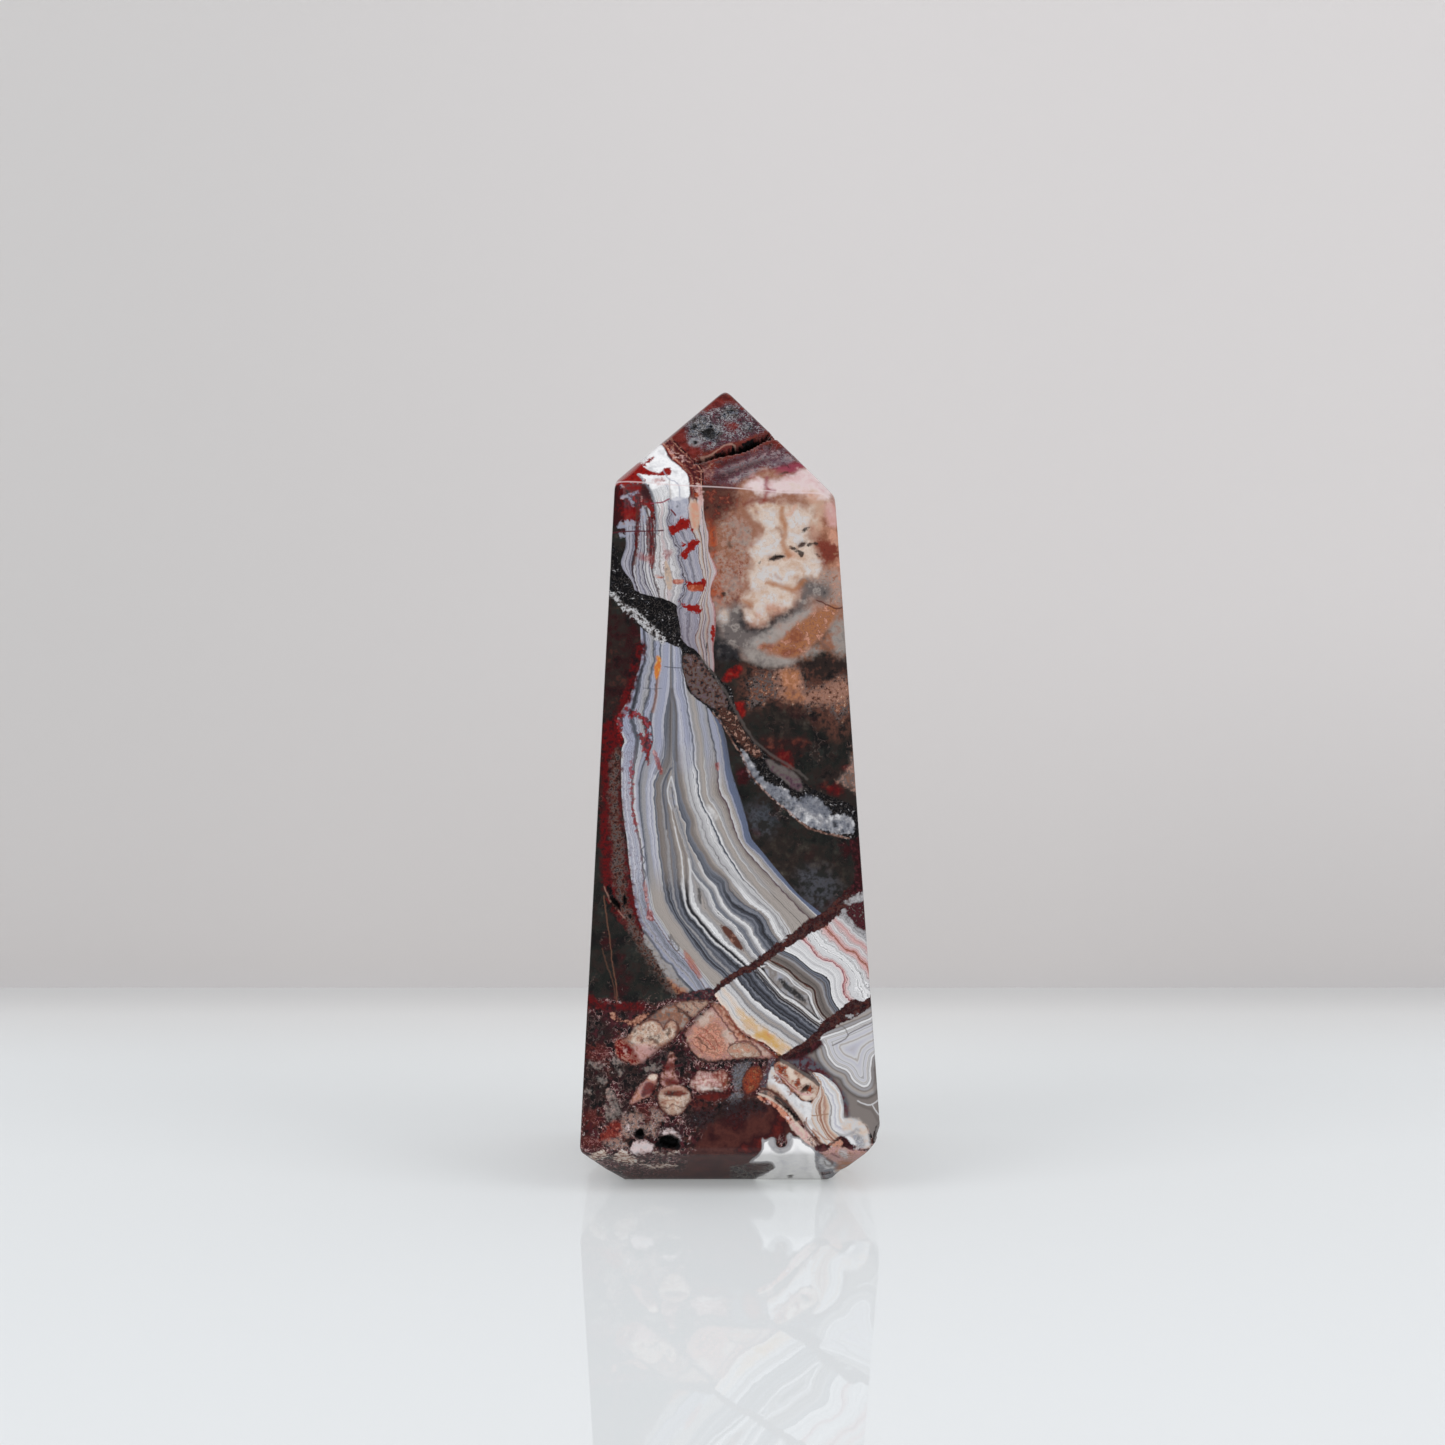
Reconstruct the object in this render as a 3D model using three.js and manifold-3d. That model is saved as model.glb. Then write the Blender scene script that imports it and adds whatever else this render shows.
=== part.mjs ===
// A lace agate tower: one piece of banded stone, ground by hand to a tapered obelisk and polished.
// Millimetres and degrees. +Z is up, the tower stands on z = 0, and -Y is the side with the finest banding.
//
// It is shaped the way a lapidary shapes it. A rough block comes first. Every flat is then ground off it,
// one after another. The faults of the stone come last: an open crack, small hollows and a chipped corner.
import * as THREE from 'three';
import { mergeVertices } from 'three/addons/utils/BufferGeometryUtils.js';
import Module from 'manifold-3d';

// Driving dimensions
const HEIGHT = 90;
const HALF_WIDTH = 17.05; // at the widest level, just above the foot bevels
const HALF_DEPTH = 17;
const ROUGH_BLOCK = 120; // edge of the block before grinding
const GRINDER = 400; // edge of the large block that stands for the flat grinding wheel
const OVERCUT = 1; // how far a crack's cutter stands out of the surface
const HOLLOW_ROUNDNESS = 2; // how often a lump's faces are split to make it rounder
const CHIP_ROUNDNESS = 3;
const MERGE_DISTANCE = 1e-4; // corners closer than this are one corner

// Levels on the front view
const FRONT_BEVEL_TOP = 4.8;
const LEFT_BEVEL_TOP = 5.0;
const RIGHT_BEVEL_TOP = 6.8;
const BACK_BEVEL_TOP = 5.6;

// Every flat: a point that it passes through, the compass direction that it faces (0 is +X, 90 is +Y),
// and its tilt, which is how far it looks up (positive) or down (negative).
const FLATS = {
  front: { through: [0, -HALF_DEPTH, FRONT_BEVEL_TOP], faces: -90, tilt: 3.8 },
  back: { through: [0, HALF_DEPTH, BACK_BEVEL_TOP], faces: 90, tilt: 4.3 },
  left: { through: [-HALF_WIDTH, 0, LEFT_BEVEL_TOP], faces: 180, tilt: 3.1 },
  right: { through: [HALF_WIDTH, 0, RIGHT_BEVEL_TOP], faces: 0, tilt: 4.17 },
  topFront: { through: [0, -12, 79.92], faces: -86.3, tilt: 46.8 },
  topBack: { through: [0, 11.5, 77.1], faces: 86.2, tilt: 42.2 },
  topLeft: { through: [-10.35, -8.6, 82.6], faces: 171.8, tilt: 48.4 },
  topRight: { through: [8.75, -8.9, 81.75], faces: 7.1, tilt: 43.95 },
  tip: { through: [0, 0, HEIGHT], faces: 0, tilt: 90 },
  leftShoulder: { through: [-12.2, -11.95, 80.6], faces: -159.5, tilt: 56.4 },
  rightShoulder: { through: [10.1, -12, 79.3], faces: -48.1, tilt: 38.5 },
  frontBevel: { through: [0, -HALF_DEPTH, FRONT_BEVEL_TOP], faces: -90, tilt: -57 },
  backBevel: { through: [0, HALF_DEPTH, BACK_BEVEL_TOP], faces: 90, tilt: -50.5 },
  leftBevel: { through: [-HALF_WIDTH, 0, LEFT_BEVEL_TOP], faces: 180, tilt: -42.6 },
  rightBevel: { through: [15.5, -HALF_DEPTH, FRONT_BEVEL_TOP], faces: 1.4, tilt: -38.6 },
  foot: { through: [0, 0, 0], faces: 0, tilt: -90 },
};

// The open crack. Its outline lies in the plane of a top flat: across first, then up the slope, from the
// point of that plane nearest to the anchor.
const CRACKS = [
  {
    flat: 'topFront',
    anchor: [0, -12, 80],
    depth: 2.6,
    outline: [
      [-3.4, 4.4], [-1.3, 5.25], [0, 6.05], [1, 6.5], [2.5, 7], [3.7, 7.95], [4.8, 8.4], [7.5, 9],
      [7.5, 8], [4.7, 7.25], [3.6, 6.6], [2.4, 5.8], [1.1, 5.25], [-0.9, 4.7], [-2.9, 4.2],
    ],
  },
  {
    flat: 'topRight',
    anchor: [7, 0, 82],
    depth: 1.8,
    outline: [
      [-5.6, 2.5], [-3, 2.2], [-1, 1.2], [1.5, 1], [4, -0.3],
      [1.4, 0.5], [-1.2, 0.6], [-3.2, 1.5], [-5.4, 1.8],
    ],
  },
  {
    flat: 'topFront',
    anchor: [0, -12, 80],
    depth: 0.9,
    outline: [[5.2, 1.6], [5.9, 2.1], [6.8, 2.3], [6.1, 1.8]],
  },
];

// Hollows where the stone is missing: centre, half sizes along X, Y and Z, and a turn about Y.
const HOLLOWS = [
  { at: [-10.2, -16.9, 7.05], half: [0.5, 1, 0.45], turn: 20 },
  { at: [-7.1, -17, 6.1], half: [1.35, 1.3, 0.7], turn: 12 },
  { at: [-12.95, -15.15, 33.2], half: [0.45, 0.7, 0.95], turn: -35 },
  { at: [-11.9, -15.15, 33.7], half: [0.3, 0.6, 0.6], turn: -20 },
  { at: [6.3, -16.75, 9.9], half: [2.3, 0.8, 0.24], turn: 41 },
  { at: [8.6, -16.55, 12.2], half: [0.8, 0.6, 0.35], turn: -40 },
  { at: [5.5, -12.6, 72.1], half: [1.2, 0.6, 0.28], turn: -15 },
  { at: [8.3, -12.5, 73.6], half: [0.9, 0.6, 0.3], turn: -30 },
  { at: [7.5, -8.45, 82.85], half: [0.35, 0.8, 0.3], turn: 0 },
  { at: [-15.2, 4, 34], half: [0.9, 1.6, 0.8], turn: 25 },
  { at: [15.6, 6.5, 24], half: [0.8, 1.4, 0.6], turn: -20 },
  { at: [3.5, 14.6, 36], half: [1.5, 1, 0.7], turn: 30 },
  { at: [-6, 13.2, 57], half: [0.9, 0.8, 0.6], turn: -15 },
];

// The chipped corner, low on the right of the front
const CHIP = { at: [17.65, -16.5, 6.6], half: [1.35, 2.6, 2], turn: 0 };

const wasm = await Module();
wasm.setup();

// Turns a closed three.js geometry into a solid: only positions are kept, and shared corners are merged.
function toSolid(geometry) {
  const bare = geometry.index ? geometry.toNonIndexed() : geometry;
  bare.deleteAttribute('normal');
  bare.deleteAttribute('uv');
  const merged = mergeVertices(bare, MERGE_DISTANCE);
  const mesh = new wasm.Mesh({
    numProp: 3,
    vertProperties: new Float32Array(merged.attributes.position.array),
    triVerts: new Uint32Array(merged.index.array),
  });
  return new wasm.Manifold(mesh);
}

// The outward direction of a flat
function outward({ faces, tilt }) {
  const compass = THREE.MathUtils.degToRad(faces);
  const rise = THREE.MathUtils.degToRad(tilt);
  const level = Math.cos(rise);
  return new THREE.Vector3(Math.cos(compass) * level, Math.sin(compass) * level, Math.sin(rise));
}

// Everything outside a flat, as one large block with a face on it
function grindingBlock(flat) {
  const block = new THREE.BoxGeometry(GRINDER, GRINDER, GRINDER);
  block.translate(GRINDER / 2, 0, 0);
  block.rotateY(-THREE.MathUtils.degToRad(flat.tilt));
  block.rotateZ(THREE.MathUtils.degToRad(flat.faces));
  block.translate(...flat.through);
  return toSolid(block);
}

// A crack: its outline in the plane of the flat, cut straight into the stone
function crackWedge({ flat: name, anchor, depth, outline }) {
  const flat = FLATS[name];
  const normal = outward(flat);
  const compass = THREE.MathUtils.degToRad(flat.faces);
  const across = new THREE.Vector3(-Math.sin(compass), Math.cos(compass), 0);
  const upSlope = new THREE.Vector3().crossVectors(normal, across);
  const plane = new THREE.Plane().setFromNormalAndCoplanarPoint(normal, new THREE.Vector3(...flat.through));
  const origin = plane.projectPoint(new THREE.Vector3(...anchor), new THREE.Vector3());

  const shape = new THREE.Shape(outline.map(([x, y]) => new THREE.Vector2(x, y)));
  const wedge = new THREE.ExtrudeGeometry(shape, { depth: depth + OVERCUT, bevelEnabled: false });
  wedge.translate(0, 0, -depth);
  wedge.applyMatrix4(new THREE.Matrix4().makeBasis(across, upSlope, normal).setPosition(origin));
  return toSolid(wedge);
}

// A hollow: a rounded lump whose surface swells and shrinks a little, so that its rim is uneven
function lump({ at, half, turn }, roundness) {
  const geometry = new THREE.IcosahedronGeometry(1, roundness);
  const position = geometry.attributes.position;
  const vertex = new THREE.Vector3();
  for (let i = 0; i < position.count; i += 1) {
    vertex.fromBufferAttribute(position, i);
    const longSwell = 0.16 * Math.sin(5 * vertex.x + at[0]);
    const shortSwell = 0.12 * Math.sin(6 * vertex.z + 3 * vertex.y + at[2]);
    vertex.multiplyScalar(1 + longSwell + shortSwell);
    position.setXYZ(i, vertex.x, vertex.y, vertex.z);
  }
  geometry.scale(...half);
  geometry.rotateY(THREE.MathUtils.degToRad(turn));
  geometry.translate(...at);
  return toSolid(geometry);
}

// The whole tower, ground and then marked by its faults
function towerGeometry() {
  const rough = new THREE.BoxGeometry(ROUGH_BLOCK, ROUGH_BLOCK, ROUGH_BLOCK);
  rough.translate(0, 0, HEIGHT / 2);
  let stone = toSolid(rough);
  for (const flat of Object.values(FLATS)) {
    stone = stone.subtract(grindingBlock(flat));
  }
  for (const crack of CRACKS) {
    stone = stone.subtract(crackWedge(crack));
  }
  for (const hollow of HOLLOWS) {
    stone = stone.subtract(lump(hollow, HOLLOW_ROUNDNESS));
  }
  stone = stone.subtract(lump(CHIP, CHIP_ROUNDNESS));

  const { vertProperties, triVerts, numProp } = stone.getMesh();
  const geometry = new THREE.BufferGeometry();
  geometry.setAttribute('position', new THREE.BufferAttribute(new Float32Array(vertProperties), numProp));
  geometry.setIndex(new THREE.BufferAttribute(new Uint32Array(triVerts), 1));
  geometry.computeVertexNormals();
  return geometry;
}

const polishedStone = new THREE.MeshStandardMaterial({ color: 0x7d6a66, roughness: 0.12, metalness: 0 });
polishedStone.name = 'polished_agate';

const tower = new THREE.Mesh(towerGeometry(), polishedStone);
tower.name = 'tower';

const part = new THREE.Group();
part.name = 'lace_agate_tower';
part.add(tower);

export default part;
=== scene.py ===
# %% [markdown]
# # A lace agate tower
#
# The object is one polished stone: a tapered obelisk with a four-sided point, cut from a seam of lace agate
# in dark jasper. Its form is plain and its looks are all in the markings, so most of this lesson draws
# layers of mineral. It goes in the order in which the stone grew: dark jasper first, then the banded agate
# that filled its openings, then the veins that cut through everything, and last the polish.

import bpy
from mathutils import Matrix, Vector
import numpy as np


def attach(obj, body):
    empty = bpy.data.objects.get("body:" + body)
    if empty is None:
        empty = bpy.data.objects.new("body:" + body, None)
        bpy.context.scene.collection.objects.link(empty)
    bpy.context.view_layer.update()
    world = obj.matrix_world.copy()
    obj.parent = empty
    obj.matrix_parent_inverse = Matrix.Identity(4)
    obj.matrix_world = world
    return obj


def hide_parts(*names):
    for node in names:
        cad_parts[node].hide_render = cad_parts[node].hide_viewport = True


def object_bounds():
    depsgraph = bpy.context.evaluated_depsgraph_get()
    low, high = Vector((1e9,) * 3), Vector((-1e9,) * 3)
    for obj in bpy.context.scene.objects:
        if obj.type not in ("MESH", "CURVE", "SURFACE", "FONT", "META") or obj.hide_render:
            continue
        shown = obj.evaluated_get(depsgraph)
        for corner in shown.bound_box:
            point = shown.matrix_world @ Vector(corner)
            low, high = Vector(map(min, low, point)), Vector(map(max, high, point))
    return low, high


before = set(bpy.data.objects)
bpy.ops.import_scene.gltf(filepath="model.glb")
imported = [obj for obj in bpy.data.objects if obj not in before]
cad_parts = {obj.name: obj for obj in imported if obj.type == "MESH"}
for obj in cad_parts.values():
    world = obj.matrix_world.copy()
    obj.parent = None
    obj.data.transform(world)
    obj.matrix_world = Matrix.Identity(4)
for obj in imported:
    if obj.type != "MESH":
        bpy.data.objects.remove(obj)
cad_low, cad_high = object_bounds()
MM = 0.001  # the scene is in metres, and the stone is described in millimetres
print("frame nodes:", sorted(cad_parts))

# %% [markdown]
# ## Camera
#
# A product photographer stands back with a long lens, so that the tower's sides stay nearly parallel, and
# looks down on it a little. A view is three things: where the camera stands, how far it tips down, and the
# focal length. The same three numbers come back later. They also say where on the stone a point of the
# drawing lies, so they get names here.

# %% Camera
PHOTO_SIDE = 1445  # pixels along each side of the drawing
SENSOR_WIDTH = 36.0
LENS = 120.0
PITCH = np.radians(7.5)  # how far the camera looks down
CAMERA_AT = np.array([-0.86, -551.28, 124.354])  # millimetres

camera = bpy.data.objects.new("camera", bpy.data.cameras.new("camera"))
camera.data.lens = LENS
camera.data.sensor_width = SENSOR_WIDTH
camera.data.clip_start = 0.05
camera.data.clip_end = 20
camera.location = CAMERA_AT * MM
camera.rotation_euler = (np.pi / 2 - PITCH, 0, 0)
bpy.context.collection.objects.link(camera)
bpy.context.scene.camera = camera


def to_drawing(points):
    """Where points in space land on the drawing: their offset from the camera, divided by their depth."""
    ahead = np.array([0, np.cos(PITCH), -np.sin(PITCH)])
    above = np.array([0, np.sin(PITCH), np.cos(PITCH)])
    offset = points - CAMERA_AT
    depth = offset @ ahead
    focal = LENS / SENSOR_WIDTH * PHOTO_SIDE
    across = PHOTO_SIDE / 2 + focal * offset[:, 0] / depth
    down = PHOTO_SIDE / 2 - focal * (offset @ above) / depth
    return across, down


print("origin on the drawing:", [round(float(place[0]), 1) for place in to_drawing(np.zeros((1, 3)))])

# %% [markdown]
# ## The stone's flats
#
# A lapidary grinds one flat after another, and each flat is a plane. The planes are read from the packed
# model: a face whose plane has the whole stone behind it is an outer flat. Pits and cracks drop out,
# because their faces have stone in front of them.

# %% Read the flats
FLAT_TOLERANCE = 2e-5  # metres that the stone may stand in front of its own flat
SAME_DIRECTION = 0.9995


def outer_flats(node):
    """Unit normals and distances, in millimetres, of the planes that have every corner behind them."""
    mesh = node.data
    corners = np.empty(len(mesh.vertices) * 3)
    mesh.vertices.foreach_get("co", corners)
    corners = corners.reshape(-1, 3)
    normals = np.empty(len(mesh.polygons) * 3)
    mesh.polygons.foreach_get("normal", normals)
    normals = normals.reshape(-1, 3)
    centres = np.empty(len(mesh.polygons) * 3)
    mesh.polygons.foreach_get("center", centres)
    areas = np.empty(len(mesh.polygons))
    mesh.polygons.foreach_get("area", areas)
    distances = (normals * centres.reshape(-1, 3)).sum(1)
    outermost = (corners @ normals.T).max(0) <= distances + FLAT_TOLERANCE
    kept = []
    for face in np.argsort(-areas):
        if outermost[face] and all(normals[face] @ normals[k] < SAME_DIRECTION for k in kept):
            kept.append(face)
    return normals[kept], distances[kept] / MM


FLAT_NORMALS, FLAT_DISTANCES = outer_flats(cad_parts["tower"])
print("outer flats:", len(FLAT_NORMALS))

# %% [markdown]
# ## The body of the stone
#
# Polishing leaves an edge a few tenths of a millimetre round. A Bevel modifier could round the CAD edges,
# but a grid gives more: rows up the stone and columns round it, fine enough to carry the edge rounding, the
# pits and the crack in one closed skin. Every grid point is pushed out from the axis until it meets the
# rounded stone. The rounded stone is where a soft maximum of the distances to all flats is zero. Far from
# an edge that is the flat itself, and near an edge it cuts the corner.

# %% Rows and columns
EDGE_SHARPNESS = 7.0  # per millimetre: a higher value leaves a sharper edge
FRONT_COLUMNS = 112
OTHER_COLUMNS = 50
FOOT_ROWS = 12
BEVEL_ROWS = 22
SIDE_ROWS = 248
TOP_ROWS = 56
FOOT_SHARE = 0.72  # of the widest section
FOOT_LEVEL = 0.4
BEVEL_LEVEL = 6.0
SHOULDER_LEVEL = 79.0
TIP_HALF = 0.25
AXIS_LOWEST = 8.0
AXIS_HIGHEST = 72.0
STEEPEST_SIDE = 0.2  # the four side flats lean back by less than this
BISECTIONS = 26

highest_corners = [
    v.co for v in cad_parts["tower"].data.vertices if v.co.z > cad_high.z - FLAT_TOLERANCE
]
TIP = np.mean(np.array(highest_corners), axis=0) / MM


def square_ring():
    """Points round a square of half width 1, more of them on the front side than on the other three."""
    front = np.linspace(-1, 1, FRONT_COLUMNS, endpoint=False)
    other = np.linspace(-1, 1, OTHER_COLUMNS, endpoint=False)
    flat = np.ones
    across = np.concatenate([front, flat(OTHER_COLUMNS), -other, -flat(OTHER_COLUMNS)])
    along = np.concatenate([-flat(FRONT_COLUMNS), other, flat(OTHER_COLUMNS), -other])
    return across, along


def section(level):
    """Centre and half sizes of the stone's rectangle at a level: where the four side flats stand there."""
    edges = []
    for axis in (0, 1):
        for way in (-1, 1):
            upright = np.abs(FLAT_NORMALS[:, 2]) < STEEPEST_SIDE
            flat = np.argmax(np.where(upright, way * FLAT_NORMALS[:, axis], -2))
            edges.append((FLAT_DISTANCES[flat] - level * FLAT_NORMALS[flat, 2]) / FLAT_NORMALS[flat, axis])
    left, right, front, back = edges
    return (left + right) / 2, (front + back) / 2, (right - left) / 2, (back - front) / 2


def skin_targets():
    """One aiming point per grid point: level rows up the sides, and shrinking squares on foot and point."""
    across, along = square_ring()
    foot_x, foot_y, foot_wide, foot_deep = section(BEVEL_LEVEL)
    rows = []
    for share in np.linspace(0, FOOT_SHARE, FOOT_ROWS + 1)[1:]:
        rows.append((foot_x, foot_y, foot_wide * share, foot_deep * share, 0.0))
    for level in np.linspace(FOOT_LEVEL, BEVEL_LEVEL, BEVEL_ROWS):
        rows.append((*section(level), level))
    for level in np.linspace(BEVEL_LEVEL, SHOULDER_LEVEL, SIDE_ROWS + 1)[1:]:
        rows.append((*section(level), level))
    shoulder = np.array((*section(SHOULDER_LEVEL), SHOULDER_LEVEL))
    tip = np.array((TIP[0], TIP[1], TIP_HALF, TIP_HALF, TIP[2]))
    for share in np.linspace(0, 1, TOP_ROWS + 1)[1:]:
        rows.append(tuple(shoulder + (tip - shoulder) * share))
    centre_x, centre_y, wide, deep, level = np.array(rows).T[:, :, None]
    grid = np.stack(np.broadcast_arrays(centre_x + wide * across, centre_y + deep * along, level), -1)
    axis = np.stack(np.broadcast_arrays(centre_x + 0 * across, centre_y, level), -1)
    return grid, axis


targets, axis = skin_targets()
ROWS, COLUMNS = targets.shape[:2]
print("grid:", ROWS, "rows of", COLUMNS, "columns")

# %% Push the grid onto the stone
def over_the_edge(points):
    """Soft maximum of the distances to all flats: log of the sum of exponentials, divided by sharpness."""
    reach = points @ FLAT_NORMALS.T - FLAT_DISTANCES
    highest = reach.max(1)
    rest = np.exp(EDGE_SHARPNESS * (reach - highest[:, None])).sum(1)
    return highest + np.log(rest) / EDGE_SHARPNESS


def push_to_skin(targets, anchors):
    """Halves the stretch from the axis through each target until its end lies on the rounded stone."""
    anchors[:, 2] = np.clip(anchors[:, 2], AXIS_LOWEST, AXIS_HIGHEST)
    ray = targets - anchors
    inside = np.zeros(len(targets))
    outside = np.full(len(targets), 2.0)
    for _ in range(BISECTIONS):
        middle = (inside + outside) / 2
        beyond = over_the_edge(anchors + ray * middle[:, None]) > 0
        outside = np.where(beyond, middle, outside)
        inside = np.where(beyond, inside, middle)
    return anchors + ray * inside[:, None]


def skin_normals(points):
    """The soft maximum's slope: every flat's normal, weighted by how near the point is to that flat."""
    reach = points @ FLAT_NORMALS.T - FLAT_DISTANCES
    weight = np.exp(EDGE_SHARPNESS * (reach - reach.max(1)[:, None]))
    slope = weight @ FLAT_NORMALS
    return slope / np.linalg.norm(slope, axis=1)[:, None]


foot_pole = np.array([*section(0)[:2], 0])
SKIN = push_to_skin(
    np.vstack([targets.reshape(-1, 3), foot_pole, TIP]),
    np.vstack([axis.reshape(-1, 3), foot_pole, TIP]),
)
NORMALS = skin_normals(SKIN)
print("skin points:", len(SKIN))

# %% [markdown]
# ## Where the drawing lies
#
# The markings are known from the front, so each point of the stone is given a place on that drawing. On the
# flats that face the camera it is simply where the camera sees the point. Behind them the layers of mineral
# go on into the stone: they lean, draw together and wander, which is why the back of such a tower is like
# its front but never the same.

# %% Drawing coordinates
BEHIND_LEAN = 0.24  # millimetres that a layer climbs for each millimetre of depth
LEAN_ENDS = 120.0  # millimetres up, where a layer would lie level
BEHIND_SQUEEZE = 0.0125  # share of the half width that is lost for each millimetre of depth
BEHIND_SHIFT = 0.05
WANDER = 1.9  # millimetres
WANDER_FULL_DEPTH = 12.0
FACING_LIMIT = -0.05


def swell(points, wavelength, seed):
    """Smooth wandering value of about one: the mean of sine waves that run in eight fixed directions."""
    random = np.random.default_rng(seed)
    directions = random.normal(size=(8, 3))
    directions *= 2 * np.pi / wavelength / np.linalg.norm(directions, axis=1)[:, None]
    phases = random.uniform(0, 2 * np.pi, 8)
    return np.sin(points @ directions.T + phases).sum(1) / 2


def drawing_place(points):
    """The front point that a layer through this point comes out at, and how deep the point lies behind."""
    facing = FLAT_NORMALS[:, 1] < FACING_LIMIT
    normal = FLAT_NORMALS[facing]
    reach = FLAT_DISTANCES[facing] - points[:, :1] * normal[:, 0] - points[:, 2:] * normal[:, 2]
    entry = (reach / normal[:, 1]).max(1)
    depth = np.maximum(points[:, 1] - entry, 0)
    loose = WANDER * np.clip(depth / WANDER_FULL_DEPTH, 0, 1)
    across = points[:, 0] * (1 - BEHIND_SQUEEZE * depth) + BEHIND_SHIFT * depth
    across += loose * swell(points, wavelength=21.0, seed=3)
    level = points[:, 2] + BEHIND_LEAN * depth * (1 - points[:, 2] / LEAN_ENDS)
    level += loose * swell(points, wavelength=17.0, seed=8)
    return to_drawing(np.column_stack([across, entry, level])), depth


(ACROSS, DOWN), DEPTH = drawing_place(SKIN)
PIXEL = 0.1145  # millimetres on the front flat for one pixel of the drawing
print("drawing spans", ACROSS.min().round(), ACROSS.max().round(), DOWN.min().round(), DOWN.max().round())

# %% [markdown]
# ## Distances to drawn lines
#
# A vein, a band's wall or a pebble is drawn as a short list of points that a smooth curve runs through. What
# the material needs is a number that changes smoothly, because the colour is worked out between the grid
# points too. The signed distance to the curve is such a number: zero on the line, positive on one side and
# negative on the other. It stays sharp at any zoom, where painting each grid point a colour would blur.

# %% Curves and distances
CURVE_STEPS = 6
FAR = 3.0  # millimetres: past this a small shape's distance is not worked out
LONG = 400.0  # pixels that an open line is carried on past its ends


def smooth_curve(points, closed):
    """Curve through the points: at each of them it runs parallel to the line between its neighbours."""
    p = np.array([pair.split() for pair in points.split(",")], float)
    if closed:
        a, b, c, d = np.roll(p, 1, 0), p, np.roll(p, -1, 0), np.roll(p, -2, 0)
    else:
        p = np.vstack([2 * p[0] - p[1], p, 2 * p[-1] - p[-2]])
        a, b, c, d = p[:-3], p[1:-2], p[2:-1], p[3:]
    t = np.linspace(0, 1, CURVE_STEPS, endpoint=False)[None, :, None]
    a, b, c, d = a[:, None], b[:, None], c[:, None], d[:, None]
    curve = b + t * (c - a) / 2 + t**2 * (a - 2.5 * b + 2 * c - d / 2) + t**3 * (1.5 * (b - c) + (d - a) / 2)
    curve = curve.reshape(-1, 2)
    if closed:
        return np.vstack([curve, curve[:1]])
    return np.vstack([curve, p[-2:-1]])


def nearest(across, down, curve):
    """Distance to the nearest stretch of the curve, and on which side of that stretch the point lies."""
    best = np.full(len(across), np.inf)
    side = np.zeros(len(across))
    for (x0, y0), (x1, y1) in zip(curve[:-1], curve[1:]):
        dx, dy = x1 - x0, y1 - y0
        px, py = across - x0, down - y0
        t = np.clip((px * dx + py * dy) / (dx * dx + dy * dy + 1e-12), 0, 1)
        gap = (px - t * dx) ** 2 + (py - t * dy) ** 2
        closer = gap < best - 1e-9
        best = np.where(closer, gap, best)
        side = np.where(closer, py * dx - px * dy, side)
    return np.sqrt(best), side


def around(curve):
    """Which grid points lie near a curve, and their places on the drawing"""
    low = curve.min(0) - FAR / PIXEL
    high = curve.max(0) + FAR / PIXEL
    near = (ACROSS > low[0]) & (ACROSS < high[0]) & (DOWN > low[1]) & (DOWN < high[1])
    return near, ACROSS[near], DOWN[near]


def shape(points):
    """Signed distance to a closed outline in millimetres, positive inside. A crossing count tells inside."""
    curve = smooth_curve(points, True)
    near, across, down = around(curve)
    distance, _ = nearest(across, down, curve)
    crossings = np.zeros(len(across), int)
    for (x0, y0), (x1, y1) in zip(curve[:-1], curve[1:]):
        spans = (y0 > down) != (y1 > down)
        meets = x0 + (down - y0) * (x1 - x0) / (y1 - y0 + 1e-12)
        crossings += spans & (across < meets)
    result = np.full(len(ACROSS), -FAR)
    result[near] = np.where(crossings % 2 == 1, distance, -distance) * PIXEL
    return np.clip(result, -FAR, FAR)


print("a test line is", len(smooth_curve("0 0, 10 5, 20 0", False)), "points long")

# %% Distances to open lines and bands
def beside(points):
    """Signed distance to an open line, positive right of one drawn down and above one drawn rightwards."""
    curve = smooth_curve(points, False)
    start = curve[0] - curve[1]
    end = curve[-1] - curve[-2]
    curve = np.vstack(
        [curve[0] + LONG * start / np.hypot(*start), curve, curve[-1] + LONG * end / np.hypot(*end)]
    )
    distance, side = nearest(ACROSS, DOWN, curve)
    return np.where(side > 0, -distance, distance) * PIXEL


def vein(points, widths):
    """How far inside a vein a point lies: half the vein's width there, less the distance to its middle."""
    curve = smooth_curve(points, False)
    width = np.interp(np.linspace(0, 1, len(curve)), np.linspace(0, 1, len(widths)), widths)
    near, across, down = around(curve)
    best = np.full(len(across), -FAR / PIXEL)
    for (x0, y0), (x1, y1), w0, w1 in zip(curve[:-1], curve[1:], width[:-1], width[1:]):
        dx, dy = x1 - x0, y1 - y0
        t = np.clip(((across - x0) * dx + (down - y0) * dy) / (dx * dx + dy * dy + 1e-12), 0, 1)
        gap = np.hypot(across - x0 - t * dx, down - y0 - t * dy)
        best = np.maximum(best, (w0 + (w1 - w0) * t) / 2 - gap)
    result = np.full(len(ACROSS), -FAR)
    result[near] = best * PIXEL
    return np.clip(result, -FAR, FAR)


def between(lines):
    """Band coordinate of a set of guide lines: 0 on the first, 1 on the second, and even steps between."""
    sides = [beside(points) for points in lines]
    total = np.zeros(len(ACROSS))
    for here, there in zip(sides[:-1], sides[1:]):
        total += np.clip(here / np.maximum(here - there, 0.02), 0, 1)
    return total, sides


print("the stone reaches", round(float(beside("700 0, 700 1445").max()), 1), "mm right of a test line")

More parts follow.
